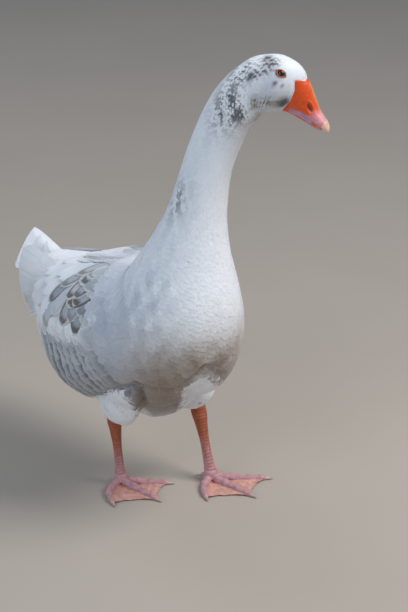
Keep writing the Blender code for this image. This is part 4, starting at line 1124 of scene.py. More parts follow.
class SCENE_OT_goose_wings(bpy.types.Operator):
    """Both folded wings: their beds, the feathers over them and the primaries"""
    bl_idname = "scene.goose_wings"
    bl_label = "Wings"

    def execute(self, context):
        """A thin bed over the flank, slanting rows of vanes on it, and primaries in the air."""
        sizes, colours = context.scene.goose_sizes, context.scene.goose_colours
        white, grey = np.array(colours.white), np.array(colours.grey)
        for side, word in ((-1, "right"), (1, "left")):
            s, turn = np.meshgrid(np.linspace(*WING_BED, 60), np.linspace(-1, 1, 30), indexing="ij")
            top, low = (smooth(WING_EDGE[:, 0], c, s) for c in WING_EDGE.T[1:3])
            phi = np.radians(side * (top + low) / 2 + (low - top) / 2 * turn)
            points, normals, _, _ = on_body(s, phi)
            upper = points + normals * (wing_stand(s, phi) - WING_BED_DEPTH)[..., None]
            bed = join_vanes(f"wing_bed_{word}", upper[None], normals[None], WING_BED_THICKNESS,
                             s[None] / LAST, (plumage(s, phi, colours)[None] + white) / 2,
                             np.zeros((1, 1, 1, 4)), chart_place(s[:1, 0], phi[:1, 0]))
            set_piece(bed, "down", (f"wing_{word}",))
            self.cover(side, word, sizes, white, grey)
            self.primaries(side, word, white)
        return {"FINISHED"}

    def cover(self, side, word, sizes, white, grey):
        """Scapulars, coverts and tertials: slanting rows, grey and banded in front, white behind."""
        rng = np.random.default_rng(31 + side)
        down, out = (v.ravel() for v in np.meshgrid(
            np.arange(*WING_ROWS), np.arange(*WING_PLACES), indexing="ij"))
        out = out + 0.5 * (down % 2)
        down, out = ((v + rng.normal(0, WING_JITTER, len(v))) * step
                     for v, step in ((down, WING_ROW), (out, WING_PLACE)))
        c, q = math.cos(WING_LIE), math.sin(WING_LIE)
        s = WING_MIDDLE + (out * q - down * c) / WING_STATION
        degrees = np.degrees((down * q + out * c) / WING_RADIUS)
        keep = (s > 1.9) & (s < 6.2) & (degrees > 1) & (degrees < 84)
        s, degrees = s[keep], degrees[keep]
        size = sizes.scapular * smooth((2.0, 3.4, 5.5), (1.0, 1.0, 0.70), s)
        lie = np.radians(smooth((1.9, 2.8, 4.2), (16, 34, 62), s))
        _, _, long, wide = on_body(s, side * np.radians(degrees))
        tip = s - size * np.cos(lie) / long
        tip_turn = degrees + np.degrees(size * np.sin(lie) / wide)
        inside = (tip_turn < 94) & (tip_turn > 7) & (tip > 1.35) & (tip < wing_front(tip_turn) + 0.25)
        s, degrees, size, lie, tip, tip_turn = (v[inside] for v in (s, degrees, size, lie, tip, tip_turn))
        amount = ease(-0.12, 0.08, tip - np.interp(tip_turn, *np.array(GREY_EDGE).T))
        amount = amount * (0.45 + 0.55 * ease(14, 34, tip_turn)) * ease(4, 13, tip_turn)
        tints = tinted(white, grey, amount * rng.uniform(0.4, 0.9, len(s)))
        banded = amount * ease(4.5, 4.0, tip) * ease(26, 38, tip_turn)
        banded = banded * ease(0.0, 0.3, rng.uniform(size=len(s))) * rng.uniform(0.35, 1.0, len(s))
        marks = np.stack([banded, 0.12 + 0.42 * amount, 0.1 * amount], 1)
        dress(f"wing_cover_{word}", s, side * np.radians(degrees), lie, size, sizes.scapular_width,
              COVER_DEPTH, COVER_LIFT, tints, marks, 51 + side, 14, 9, material="flight feather",
              thick=sizes.flight_thickness, slot="wing_feathers", root=0.30, camber=0.03, tip=1.25)

    def primaries(self, side, word, white):
        """The long quills: curves of the second degree from the body to their tips."""
        t = np.linspace(0, 1, 24)[:, None]
        at = np.linspace(0, len(PRIMARIES) - 1, PRIMARY_COUNT)
        rows = [np.interp(at, np.arange(len(PRIMARIES)), c) for c in PRIMARIES.T]
        paths, faces, roots = [], [], []
        for s, degrees, left, forward, up in zip(*rows):
            phi = side * math.radians(degrees)
            start, face, _, _ = on_body(np.array([s, s - PRIMARY_BOW]), phi)
            start = start + face * (wing_stand(s, phi) - PRIMARY_SINK)
            end = place([side * left, -forward, up - (FAR_WING_DROP if side > 0 else 0.0)])
            paths.append((1 - t) ** 2 * start[0] + 2 * t * (1 - t) * start[1] + t ** 2 * end)
            faces.append(face[0] + (np.array(PRIMARY_FACE) * [side, 1, 1] - face[0]) * t)
            roots.append(chart_place(s, np.array(phi)))
        paths, faces, roots = (np.array(v) for v in (paths, faces, roots))

        def lie(along, out):
            """Points and normals of quills: along their paths, then across them, rolled and cambered."""
            step = np.clip(along, 0, 1) * (len(t) - 1)
            i, k = np.minimum(step.astype(int), len(t) - 2), np.arange(PRIMARY_COUNT)[:, None, None]
            mix = (step - i)[..., None]
            spot, face = (v[k, i] * (1 - mix) + v[k, i + 1] * mix for v in (paths, faces))
            ahead = paths[k, i + 1] - paths[k, i]
            over = unit(np.cross(face, ahead))
            face = unit(np.cross(ahead, over))
            lift = -side * VANE_ROLL * out - VANE_CAMBER * out ** 2 / PRIMARY_WIDTH
            return spot + over * out[..., None] + face * lift[..., None], face

        free_vanes(f"primaries_{word}", paths, lie, PRIMARY_WIDTH, white, (0.0, 0.3, 0.15), roots, 61 + side)


# The tail's stub: length, rise of its end and size, then shares of its length, width and depth
TAIL_STUB, TAIL_STUB_RISE, TAIL_STUB_SIZE = 0.036, 0.010, 0.93
TAIL_STUB_SECTIONS = ((0.0, 1.0, 1.0), (0.4, 0.97, 0.72), (0.8, 0.80, 0.42), (1.0, 0.60, 0.24))
# The fan: forward, height and half width at its root and at its tips
TAIL_ROOT = (-0.340, 0.322, 0.018)
TAIL_TIPS = (-0.428, 0.346, 0.047)
# How far the fan's sides fall, how far its outer tips fall short of the middle ones, how far a
# vane at the side lies under or over its neighbours, and the share of a vane's width seen from above
TAIL_ROOF, TAIL_SWEEP, TAIL_TIER_DROP, TAIL_LEAN = 0.044, 0.015, 0.006, 0.75
# Rows of the tail: how many, shares of the fan at root and tip, spread across it, width, and
# height over the fan at root and tip
TAIL_ROWS = (
    ("tail_quills", 21, 0.02, 1.0, 1.0, 0.026, 0.0, 0.0),
    ("tail_coverts_long", 17, -0.12, 0.70, 0.84, 0.026, 0.0026, 0.0034),
    ("tail_coverts_short", 17, -0.30, 0.42, 0.80, 0.026, 0.0052, 0.0058),
    ("undertail_long", 17, -0.10, 0.66, 0.76, 0.030, -0.0085, -0.0105),
    ("undertail_short", 17, -0.32, 0.38, 0.74, 0.030, -0.0125, -0.0135),
)


def tail_point(share, across, lift):
    """A point of the tail's fan: share of the way to the tips, and -1 to 1 from right to left.

    The fan is a roof: its middle is highest, and its sides fall away more towards the tips."""
    forward, height, half = (a + (b - a) * share for a, b in zip(TAIL_ROOT, TAIL_TIPS))
    side = np.abs(across)
    fall = TAIL_ROOF * side ** 1.3 * (0.25 + 0.75 * np.maximum(share, 0))
    back = -forward - TAIL_SWEEP * side ** 1.5 * share
    return place(np.stack([half * across, back, height - fall + lift], -1))


class SCENE_OT_goose_tail(bpy.types.Operator):
    """The tail's stub, its fan of quills, and the coverts over and under it"""
    bl_idname = "scene.goose_tail"
    bl_label = "Tail"

    def execute(self, context):
        """Sections of the stub shrinking backwards, and vanes along lines of the fan."""
        colours = context.scene.goose_colours
        white, shade = np.array(colours.white), np.array(colours.shade)
        phi = np.linspace(-math.pi, math.pi, 48, endpoint=False)
        ring = on_body(np.zeros(48), phi)[0]
        centre = ring.mean(axis=0)
        share = np.linspace(1, 0, 14)
        table = np.array(TAIL_STUB_SECTIONS).T
        wide, deep = (smooth(table[0], row, share) * TAIL_STUB_SIZE for row in table[1:])
        size = np.stack([wide, np.ones(14), deep], 1)[:, None]
        p = math.radians(SPINE[0, 3])
        back = np.array([0, math.cos(p), -math.sin(p)]) * TAIL_STUB
        rings = centre + (ring - centre) * size + share[:, None, None] * back
        rings = rings + np.array([0, 0, TAIL_STUB_RISE]) * share[:, None, None] ** 2
        set_piece(tube("tail_stub", rings, white), "down", ("tail",))
        for row, (name, count, root, tip, spread, width, low, high) in enumerate(TAIL_ROWS):
            middle = np.linspace(-spread, spread, count)[:, None, None]
            under = name.startswith("under")
            tier = TAIL_TIER_DROP * np.abs(middle) * (1 if under else -1)

            def lie(along, out):
                """Points and normals of the fan, each vane a tier under the one nearer the middle."""
                share = root + (tip - root) * along
                half = TAIL_ROOT[2] + (TAIL_TIPS[2] - TAIL_ROOT[2]) * share
                across = middle * (0.6 + 0.4 * along) + TAIL_LEAN * out / half
                lean = tail_point(share, across + 0.05, 0) - tail_point(share, across - 0.05, 0)
                face = unit(np.cross(lean, [0, 1.0, 0]))
                return tail_point(share, across, low + (high - low) * along + tier), face

            t = np.broadcast_to(np.linspace(0, 1, 20), (count, 1, 20))
            lines = lie(t, 0.0 * t)[0][:, 0]
            roots = np.stack([0.5 + 0.3 * middle[:, 0, 0], np.full(count, 0.01 + 0.02 * row)], -1)
            # Painted shade: the vanes under the tail are tinted towards shade
            tints = tinted(white, shade, 0.3 if under else 0.0)
            free_vanes(name, lines, lie, width, tints, (0.0, 0.2, 0.25), roots, 71 + row)
        return {"FINISHED"}


def join_shells(name, shells):
    """One mesh from closed shells, each its points, its quads and its colours."""
    points, faces, tints = zip(*shells)
    start = np.cumsum([0] + [len(v) for v in points])
    faces = [quads + first for quads, first in zip(faces, start)]
    return mesh_of(name, *(np.concatenate(v) for v in (points, faces, tints)))


# Bill: along, middle height, half width, reach up and down, and height of the cutting edge
BILL = np.array((
    (0.0180, -0.0206, 0.0262, 0.0374, 0.0448, -0.0425),
    (0.0240, -0.0200, 0.0232, 0.0352, 0.0410, -0.0415),
    (0.0333, -0.0200, 0.0182, 0.0284, 0.0333, -0.0405),
    (0.0450, -0.0235, 0.0165, 0.0256, 0.0254, -0.0385),
    (0.0550, -0.0270, 0.0150, 0.0220, 0.0208, -0.0360),
    (0.0650, -0.0295, 0.0140, 0.0178, 0.0170, -0.0353),
    (0.0750, -0.0315, 0.0135, 0.0131, 0.0134, -0.0358),
    (0.0850, -0.0330, 0.0126, 0.0106, 0.0108, -0.0360),
    (0.0940, -0.0340, 0.0113, 0.0082, 0.0084, -0.0362),
    (0.1010, -0.0358, 0.0086, 0.0062, 0.0072, -0.0400),
    (0.1056, -0.0385, 0.0045, 0.0035, 0.0045, -0.0424),
))
# The nail: where it starts, how much its root swells, and how much its tip is rounded off
NAIL_START, NAIL_SWELL, NAIL_ROUND = 0.0925, 0.035, 0.55
# The lower bill: where it starts and ends, where its sides begin to round in, how deep its lip
# is, how far that lies inside the upper edge, and how much its side bulges
LOWER_START, LOWER_TIP, LOWER_ROUND = 0.0330, 0.0955, 0.0740
LIP_DROP, LIP_INSET, LOWER_BULGE = 0.0062, 0.0011, 0.0004
# The palate's share of the width, and its rise over the edge
PALATE_WIDTH, PALATE_RISE = 0.6, 0.0008
# A nostril: place along and up, slope, half length, half height and depth
NOSTRIL_ALONG, NOSTRIL_RISE = 0.0610, -0.0210
NOSTRIL_SLOPE = math.radians(-33)
NOSTRIL_LENGTH, NOSTRIL_HEIGHT, NOSTRIL_DEPTH = 0.0066, 0.0031, 0.0036
# Plates of the comb along the lower lip, and wrinkles of the skin behind the nostril
LAMELLA_PITCH, LAMELLA_DEPTH = 0.0011, 0.00030
WRINKLE_PITCH, WRINKLE_DEPTH = 0.0016, 0.00022
# Relief of the upper bill: ridge along the culmen, hollow beside it, and ridge along the lip
CULMEN_RIDGE, SIDE_HOLLOW, LIP_RIDGE = 0.0006, 0.0007, 0.0004
# Raised rim of a nostril, and the hollow round it
NOSTRIL_RIM, NOSTRIL_HOLLOW = 0.0005, 0.0007
# Height of the line that pits are pushed towards, and how deep the skin tucks under the feathers
BILL_CORE, BILL_TUCK = -0.030, 0.0016


def bill_surface(along, w):
    """Rise and side of the bill's skin; w runs from -1 on the right edge to 1 on the left.

    The section is an ellipse cut off at the cutting edge: the angle from its top is w times
    what reaches the edge. The culmen stands up as a ridge, with a hollow along each side of it,
    and a lip runs along the edge."""
    m, h, u, d, e = (smooth(BILL[:, 0], c, along) for c in BILL.T[1:])
    corner = np.arcsin(np.clip((m - e) / d, -0.95, 0.95))
    angle = w * (math.pi / 2 + corner)
    side, rise = h * np.sin(angle), np.where(np.cos(angle) > 0, u, d) * np.cos(angle)
    fore = ease(0.030, 0.045, along) * ease(0.094, 0.080, along)
    swell = fore * (CULMEN_RIDGE * hill(w, 0, 0.10) - SIDE_HOLLOW * hill(np.abs(w), 0.30, 0.14))
    swell = swell + LIP_RIDGE * hill(np.abs(w), 0.94, 0.04) * ease(0.031, 0.040, along)
    size = np.hypot(side, rise)
    return m + rise * (1 + swell / size), side * (1 + swell / size)


def nostril(along, rise):
    """How far places are from the nostril's middle, in its own lengths and heights."""
    c, q = math.cos(NOSTRIL_SLOPE), math.sin(NOSTRIL_SLOPE)
    x, y = along - NOSTRIL_ALONG, rise - NOSTRIL_RISE
    return np.hypot((x * c + y * q) / NOSTRIL_LENGTH, (y * c - x * q) / NOSTRIL_HEIGHT)


def upper_rings(start, end, rows, turns):
    """Rings of the upper bill from a back edge, given for each place round it, to its fore end.

    A ring goes over the bill from its right edge to its left one and back across the palate."""
    w = np.linspace(-1, 1, turns)
    t = np.linspace(0, 1, rows)[:, None]
    along = start(np.abs(w)) + (end - start(np.abs(w))) * t
    return (along, w, *bill_surface(along, w))


class SCENE_OT_goose_bill(bpy.types.Operator):
    """Upper bill with its nostrils, its nail, and the lower bill with its comb plates"""
    bl_idname = "scene.goose_bill"
    bl_label = "Bill"

    def execute(self, context):
        """Rings of cut ellipses along the head's frame, pitted by the nostrils."""
        colours = context.scene.goose_colours
        border = np.array(BORDER).T

        def back(w):
            return smooth(border[0], border[1], w)
        along, w, rise, side = upper_rings(back, NAIL_START, 150, 121)
        away = nostril(along, rise)
        on_side = (np.abs(w) > 0.12) & (np.abs(w) < 0.75)
        pit = (-NOSTRIL_DEPTH * np.exp(-away ** 4) + NOSTRIL_RIM * hill(away, 1.45, 0.30)
               - NOSTRIL_HOLLOW * hill(away, 0, 2.6)) * on_side
        edge = along - back(np.abs(w))
        pit = pit - BILL_TUCK * ease(0.0026, 0.0, edge)
        wrinkle = np.sin(edge / WRINKLE_PITCH * 2 * math.pi) * ease(0.014, 0.002, edge) * (1 - w ** 8)
        scale = 1 + (pit + WRINKLE_DEPTH * wrinkle) / np.hypot(side, rise - BILL_CORE)
        rise, side = BILL_CORE + (rise - BILL_CORE) * scale, side * scale
        # Painted highlight: the ridge along the top of the bill is tinted paler
        ridge = hill(w, 0, 0.13) * ease(0.034, 0.046, along)
        tint = tinted(colours.orange, colours.culmen, 0.85 * ridge)
        tint = tinted(tint, colours.pink, 0.85 * ease(0.070, 0.086, along + 0.010 * np.abs(w)))
        tint = tinted(tint, colours.lilac, 0.6 * ease(0.90, 0.98, np.abs(w)) * ease(0.040, 0.060, along))
        # Painted shade: the pits of the nostrils are tinted dark red
        tint = tinted(tint, colours.gape, 0.9 * np.exp(-(away / 1.05) ** 4) * (np.abs(w) > 0.12))
        self.close("bill_upper", along, rise, side, tint, "bill horn", "bill_skin")
        along, w, rise, side = upper_rings(lambda v: NAIL_START - 0.0006 + 0 * v, BILL[-1, 0], 60, 73)
        t = (along - NAIL_START) / (BILL[-1, 0] - NAIL_START)
        round_off = 1 + NAIL_SWELL * hill(t, 0.10, 0.10) - NAIL_ROUND * np.clip((t - 0.9) / 0.1, 0, 1) ** 2
        m = smooth(BILL[:, 0], BILL[:, 1], along)
        rise, side = m + (rise - m) * round_off, side * round_off
        tint = tinted(colours.nail, colours.pink, 0.5 * hill(t, 0, 0.10) + 0 * w)
        self.close("bill_nail", along, rise, side, tint, "nail horn", "nail_horn")
        self.lower(colours)
        return {"FINISHED"}

    def close(self, name, along, rise, side, tint, material, slot):
        """Adds the palate to the rings of an upper part and sets the piece."""
        share = np.linspace(1, -1, 9)[None, 1:-1] * PALATE_WIDTH
        edge, low = side[:, -1:], rise[:, -1:]
        rings = head_point(np.concatenate([along, along[:, -1:] + 0 * share], 1),
                           np.concatenate([rise, low + PALATE_RISE + 0 * share], 1),
                           np.concatenate([side, edge * share], 1))
        tint = np.concatenate([tint, np.repeat(tint[:, -1:], share.size, 1)], 1)
        set_piece(tube(name, rings, tint), material, (name,))

    def lower(self, colours):
        """The lower bill: a flat top, an upright lip on each side cut into plates, and a keel."""
        along = np.linspace(LOWER_START, LOWER_TIP, 420)
        m, h, _, d, e = (smooth(BILL[:, 0], c, along) for c in BILL.T[1:])
        corner = np.arcsin(np.clip((m - e) / d, -0.95, 0.95))
        taper = np.clip((along - LOWER_ROUND) / (LOWER_TIP - LOWER_ROUND), 0, 1)
        wall = h * np.sqrt(1 - 0.7 * taper ** 2) * np.cos(corner) - LIP_INSET
        lip = np.arcsin(np.clip((m - e + LIP_DROP) / d, 0.05, 0.93))
        base = m - d * np.sin(lip)
        comb = ease(0.036, 0.040, along) * ease(0.082, 0.076, along)
        comb = comb * LAMELLA_DEPTH * np.sin(2 * math.pi * along / LAMELLA_PITCH)
        top = np.linspace(-1, 1, 9)[None]
        down = np.linspace(0, 1, 9)[None, 1:]
        low = np.linspace(0, math.pi, 29)[None, 1:-1]
        bow = np.sin(math.pi * down)
        sides = [wall[:, None] * top, wall[:, None] + bow * LOWER_BULGE + comb[:, None] * bow,
                 (wall[:, None] + LOWER_BULGE) * np.cos(low)]
        sides.append(-sides[1][:, ::-1])
        rises = [(e - 0.0003)[:, None] + 0 * top, e[:, None] + (base - e)[:, None] * down,
                 base[:, None] - (d * (1 - np.sin(lip)))[:, None] * np.sin(low)]
        rises.append(rises[1][:, ::-1])
        side, rise = np.concatenate(sides, 1), np.concatenate(rises, 1)
        kind = np.concatenate([0 * top + 0.6, 1 + 0 * down, 0 * low, 1 + 0 * down], 1)
        strip = kind * (ease(0.036, 0.044, along) * ease(0.084, 0.074, along))[:, None]
        tint = tinted(colours.orange, colours.lilac, 0.85 * strip)
        tint = tinted(tint, colours.pink, 0.7 * ease(0.076, 0.092, along)[:, None] + 0 * kind)
        rings = head_point(along[:, None] + 0 * side, rise, side)
        set_piece(tube("bill_lower", rings, tint), "bill horn", ("bill_lower",))


# Bulge of the cornea, radius of pupil and iris, and the eye's two dark colours
CORNEA_BULGE = 0.0005
PUPIL, IRIS = 0.0024, 0.0048
IRIS_FIBRE, EYE_BLACK = linear("594230"), linear("0D0D12")


class SCENE_OT_goose_eyes(bpy.types.Operator):
    """Eyeballs and the bare orange rings of their lids"""
    bl_idname = "scene.goose_eyes"
    bl_label = "Eyes"

    def execute(self, context):
        """A ball with a bulging cornea, and a creased tube round an oval on it."""
        colours = context.scene.goose_colours
        for side, word in ((-1, "right"), (1, "left")):
            centre, ahead, up, out = eye_frame(side)
            left = np.cross(up, out)
            polar = np.linspace(math.pi - 0.03, 0.02, 72)[:, None]
            turn = full_turn(64)
            radius = EYE_RADIUS + CORNEA_BULGE * np.exp(-(polar / 0.55) ** 4)
            ring = up * np.cos(turn)[:, None] + left * np.sin(turn)[:, None]
            ball = np.sin(polar)[..., None] * ring + np.cos(polar)[..., None] * out
            rings = centre + radius[..., None] * ball
            off = EYE_RADIUS * np.sin(polar) + 0 * turn
            fibre = 0.5 + 0.5 * np.sin(turn * 41) * np.sin(turn * 13)
            tint = tinted(colours.iris, IRIS_FIBRE, 0.55 * fibre * ease(0.0052, 0.0030, off))
            pupil = np.where(polar < math.pi / 2, ease(PUPIL + 0.0003, PUPIL, off), 1.0)
            tint = tinted(tint, EYE_BLACK, pupil)
            tint = tinted(tint, EYE_BLACK, ease(IRIS - 0.0006, IRIS, off))
            set_piece(tube(f"eye_{word}", rings, tint), "wet eye", (f"eye_{word}",))
            self.lids(f"lids_{word}", (centre, ahead, up, out), colours)
        return {"FINISHED"}

    def lids(self, name, frame_of_eye, colours):
        """A tube round an oval on the eyeball, creased on its outer side."""
        centre, ahead, up, out = frame_of_eye
        at, turn = full_turn(160)[:, None], full_turn(24)
        u, v = LID_HALF_LENGTH * np.cos(at), LID_HALF_HEIGHT * np.sin(at)
        depth = np.sqrt((EYE_RADIUS + 0.0002) ** 2 - u ** 2 - v ** 2)
        slope = ahead * (-LID_HALF_LENGTH * np.sin(at)) + up * (LID_HALF_HEIGHT * np.cos(at))
        way = unit(np.cross(slope, out))
        path = centre + ahead * u + up * v + out * depth
        crease = 1 + 0.10 * np.sin(at * 30 + 3 * np.sin(at * 2)) * np.maximum(np.cos(turn), 0)
        size = LID_RADIUS * crease * (0.74 + 0.26 * np.cos(at) ** 2)
        rings = (path[:, None] + out * (size * np.cos(turn))[..., None]
                 - way[:, None] * (size * np.sin(turn))[..., None])
        tint = tinted(colours.lid, colours.orange, 0.35 + 0.3 * np.sin(at * 3) + 0 * turn)
        set_piece(tube(name, rings, tint, closed=True), "bill horn")


# Heights of hock and ankle, then for each shank left and forward of both, and its thickness
HOCK_TOP, ANKLE_TOP = 0.138, 0.022
SHANKS = {
    "right": ((-0.039, -0.102), (-0.035, -0.086), 0.97),
    "left": ((0.096, -0.058), (0.098, -0.015), 1.06),
}
# Share of the way down, half width, half depth
SHANK_SECTIONS = (
    (0.00, 0.0118, 0.0125), (0.20, 0.0120, 0.0130), (0.32, 0.0098, 0.0112),
    (0.60, 0.0068, 0.0088), (0.84, 0.0078, 0.0094), (1.00, 0.0108, 0.0112),
)
# Toes: length, degrees to the left of straight ahead, and how far they bow to the left
TOES = {
    "right": {"outer": (0.086, -41, -0.013), "middle": (0.097, 13, 0.0), "inner": (0.090, 57, 0.0)},
    "left": {"inner": (0.078, -40, -0.008), "middle": (0.100, 16, 0.0), "outer": (0.104, 60, 0.0)},
}
# Radius of a toe, shares of its length at its knuckles and their swelling, and the height of its
# middle in radii, with what it has more at the root
TOE_ROOT_RADIUS, TOE_TIP_RADIUS = 0.0074, 0.0040
TOE_KNUCKLES = (0.36, 0.64, 0.88)
KNUCKLE_SWELL, KNUCKLE_SPREAD = 0.0009, 0.05
TOE_SEAT, TOE_ARCH = 0.82, 0.75
# Length of the scutes on toe and shank, how high they stand, the tone of the seams between them,
# and length and height of the wrinkles at the hock
TOE_SCUTE, SHANK_SCUTE = 0.0026, 0.0048
TOE_TILE_HEIGHT, SCUTE_HEIGHT = 0.00040, 0.00055
SEAM_TONE = 0.72
HOCK_FOLD, HOCK_FOLD_HEIGHT = 0.0042, 0.00045
# Webs: thickness, first and last share of the toes, notch, height in a toe's, sag and scallops
WEB_THICKNESS = 0.0014
WEB_START, WEB_REACH, WEB_NOTCH = 0.10, 0.97, 0.08
WEB_HEIGHT, WEB_SAG, WEB_SCALLOP = 0.78, 0.38, 0.012
# Hind toe: length, slant inwards, and heights and radii at its root and its end
HIND_TOE_LENGTH, HIND_TOE_INWARD = 0.016, 0.25
HIND_TOE_HEIGHTS, HIND_TOE_RADII = (0.0150, 0.0065), (0.0048, 0.0034)
# Claws: length, how far they start inside the toe, and girth as a share of the toe's
CLAW_LENGTH, CLAW_INSET, CLAW_GIRTH = 0.011, 0.002, 0.72
# How far claws bend down, the hind one more, and the colour of their tips
CLAW_DROP, HIND_CLAW_DROP = -0.002, -0.004
CLAW_TIP = linear("6F5950")
# Ankle: half width and half depth, and heights with the swelling there
ANKLE_WIDTH, ANKLE_DEPTH = 0.0108, 0.0112
ANKLE_SWELL = ((0.004, 0.010, 0.018, 0.022), (0.70, 1.05, 1.04, 0.97))


def scutes(distance, pitch):
    """Height from 0 to 1 of plates that overlap like tiles: each rises and ends in a step."""
    share = distance / pitch % 1.0
    return share ** 1.5 * ease(1.0, 0.86, share)


def shank(leg, colours):
    """Oval rings down the shank, with tiles in front and wrinkles round the hock."""
    (hx, hy), (ax, ay), scale = SHANKS[leg]
    share, turn = np.linspace(0, 1, 260)[:, None], full_turn(64)
    top, end = np.array([hx, -hy, HOCK_TOP]), np.array([ax, -ay, ANKLE_TOP - 0.010])
    rows = np.array(SHANK_SECTIONS).T
    wide, deep = (smooth(rows[0], c, share) * scale for c in rows[1:])
    down = share * (HOCK_TOP - ANKLE_TOP)
    front = ease(0.25, 0.75, np.cos(turn))
    tile = scutes(down + 0.0012 * np.cos(2 * turn), SHANK_SCUTE)
    folds = np.sin(2 * math.pi * (down + 0.0015 * np.sin(3 * turn)) / HOCK_FOLD)
    folds = HOCK_FOLD_HEIGHT * folds * ease(0.40, 0.20, share) * (1 - 0.6 * front)
    grain = waves(np.stack([wide * np.sin(turn) * 2, deep * np.cos(turn) * 2, down + 0 * turn], -1),
                  0.006, 5)
    relief = SCUTE_HEIGHT * tile * front + folds + 0.00012 * grain
    centre = place(top + (end - top) * share)[:, None]
    wide, deep = wide + relief, deep + relief
    rings = centre + np.stack([wide * np.sin(turn), -deep * np.cos(turn), 0 * relief], -1)
    tint = tinted(colours.shank, colours.foot, 0.75 * ease(0.35, 0.95, share + 0.10 * grain))
    lit = ease(0.0, 0.25, tile) * front + 1 - front
    return tube(f"shank_{leg}", rings, tint * (SEAM_TONE + (1 - SEAM_TONE) * lit)[..., None])


def left_of(ahead):
    """A level vector to the left of one that runs ahead over the floor."""
    return np.array([-ahead[1], ahead[0], 0.0])


def toe_line(start, degrees, length, bow, share):
    """A toe's middle line from the ankle, its thickness, and unit vectors ahead and to its left."""
    heading = math.radians(degrees)
    ahead = np.array([math.sin(heading), -math.cos(heading), 0.0])
    left = left_of(ahead)
    radius = TOE_ROOT_RADIUS + (TOE_TIP_RADIUS - TOE_ROOT_RADIUS) * share
    for knuckle in TOE_KNUCKLES:
        radius = radius + KNUCKLE_SWELL * hill(share, knuckle, KNUCKLE_SPREAD)
    path = start + ahead * (length * share)[:, None] + left * (bow * np.sin(math.pi * share))[:, None]
    path[:, 2] = radius * (TOE_SEAT + TOE_ARCH * (1 - share) ** 3)
    return path, radius, ahead, left


def round_rings(path, size, left, turn):
    """Upright rings of a size round the points of a path, from the top to the left."""
    ring = left * np.sin(turn)[:, None] + np.array([0, 0, 1.0]) * np.cos(turn)[:, None]
    return path[:, None] + size[..., None] * ring


def toe_shell(path, radius, left, tint, turns=32):
    """Round rings along a toe, tiled on top, flat on the floor and rounded at the end."""
    walked = np.concatenate([[0], np.cumsum(np.linalg.norm(np.diff(path, axis=0), axis=1))])
    turn = full_turn(turns)
    upper = ease(0.1, 0.6, np.cos(turn))
    tile = scutes(walked, TOE_SCUTE)[:, None] * upper
    blunt = np.sqrt(np.clip(1 - (np.clip(walked - walked[-1] + 0.003, 0, 0.003) / 0.00302) ** 2, 0, 1))
    size = (radius[:, None] + TOE_TILE_HEIGHT * tile - TOE_TILE_HEIGHT / 2) * blunt[:, None]
    rings = round_rings(path, size, left, turn)
    rings[..., 2] = np.maximum(rings[..., 2], 0.0)
    dark = SEAM_TONE + (1 - SEAM_TONE) * ease(0.0, 0.3, tile + (1 - upper))
    return shell(place(rings), np.asarray(tint) * dark[..., None])


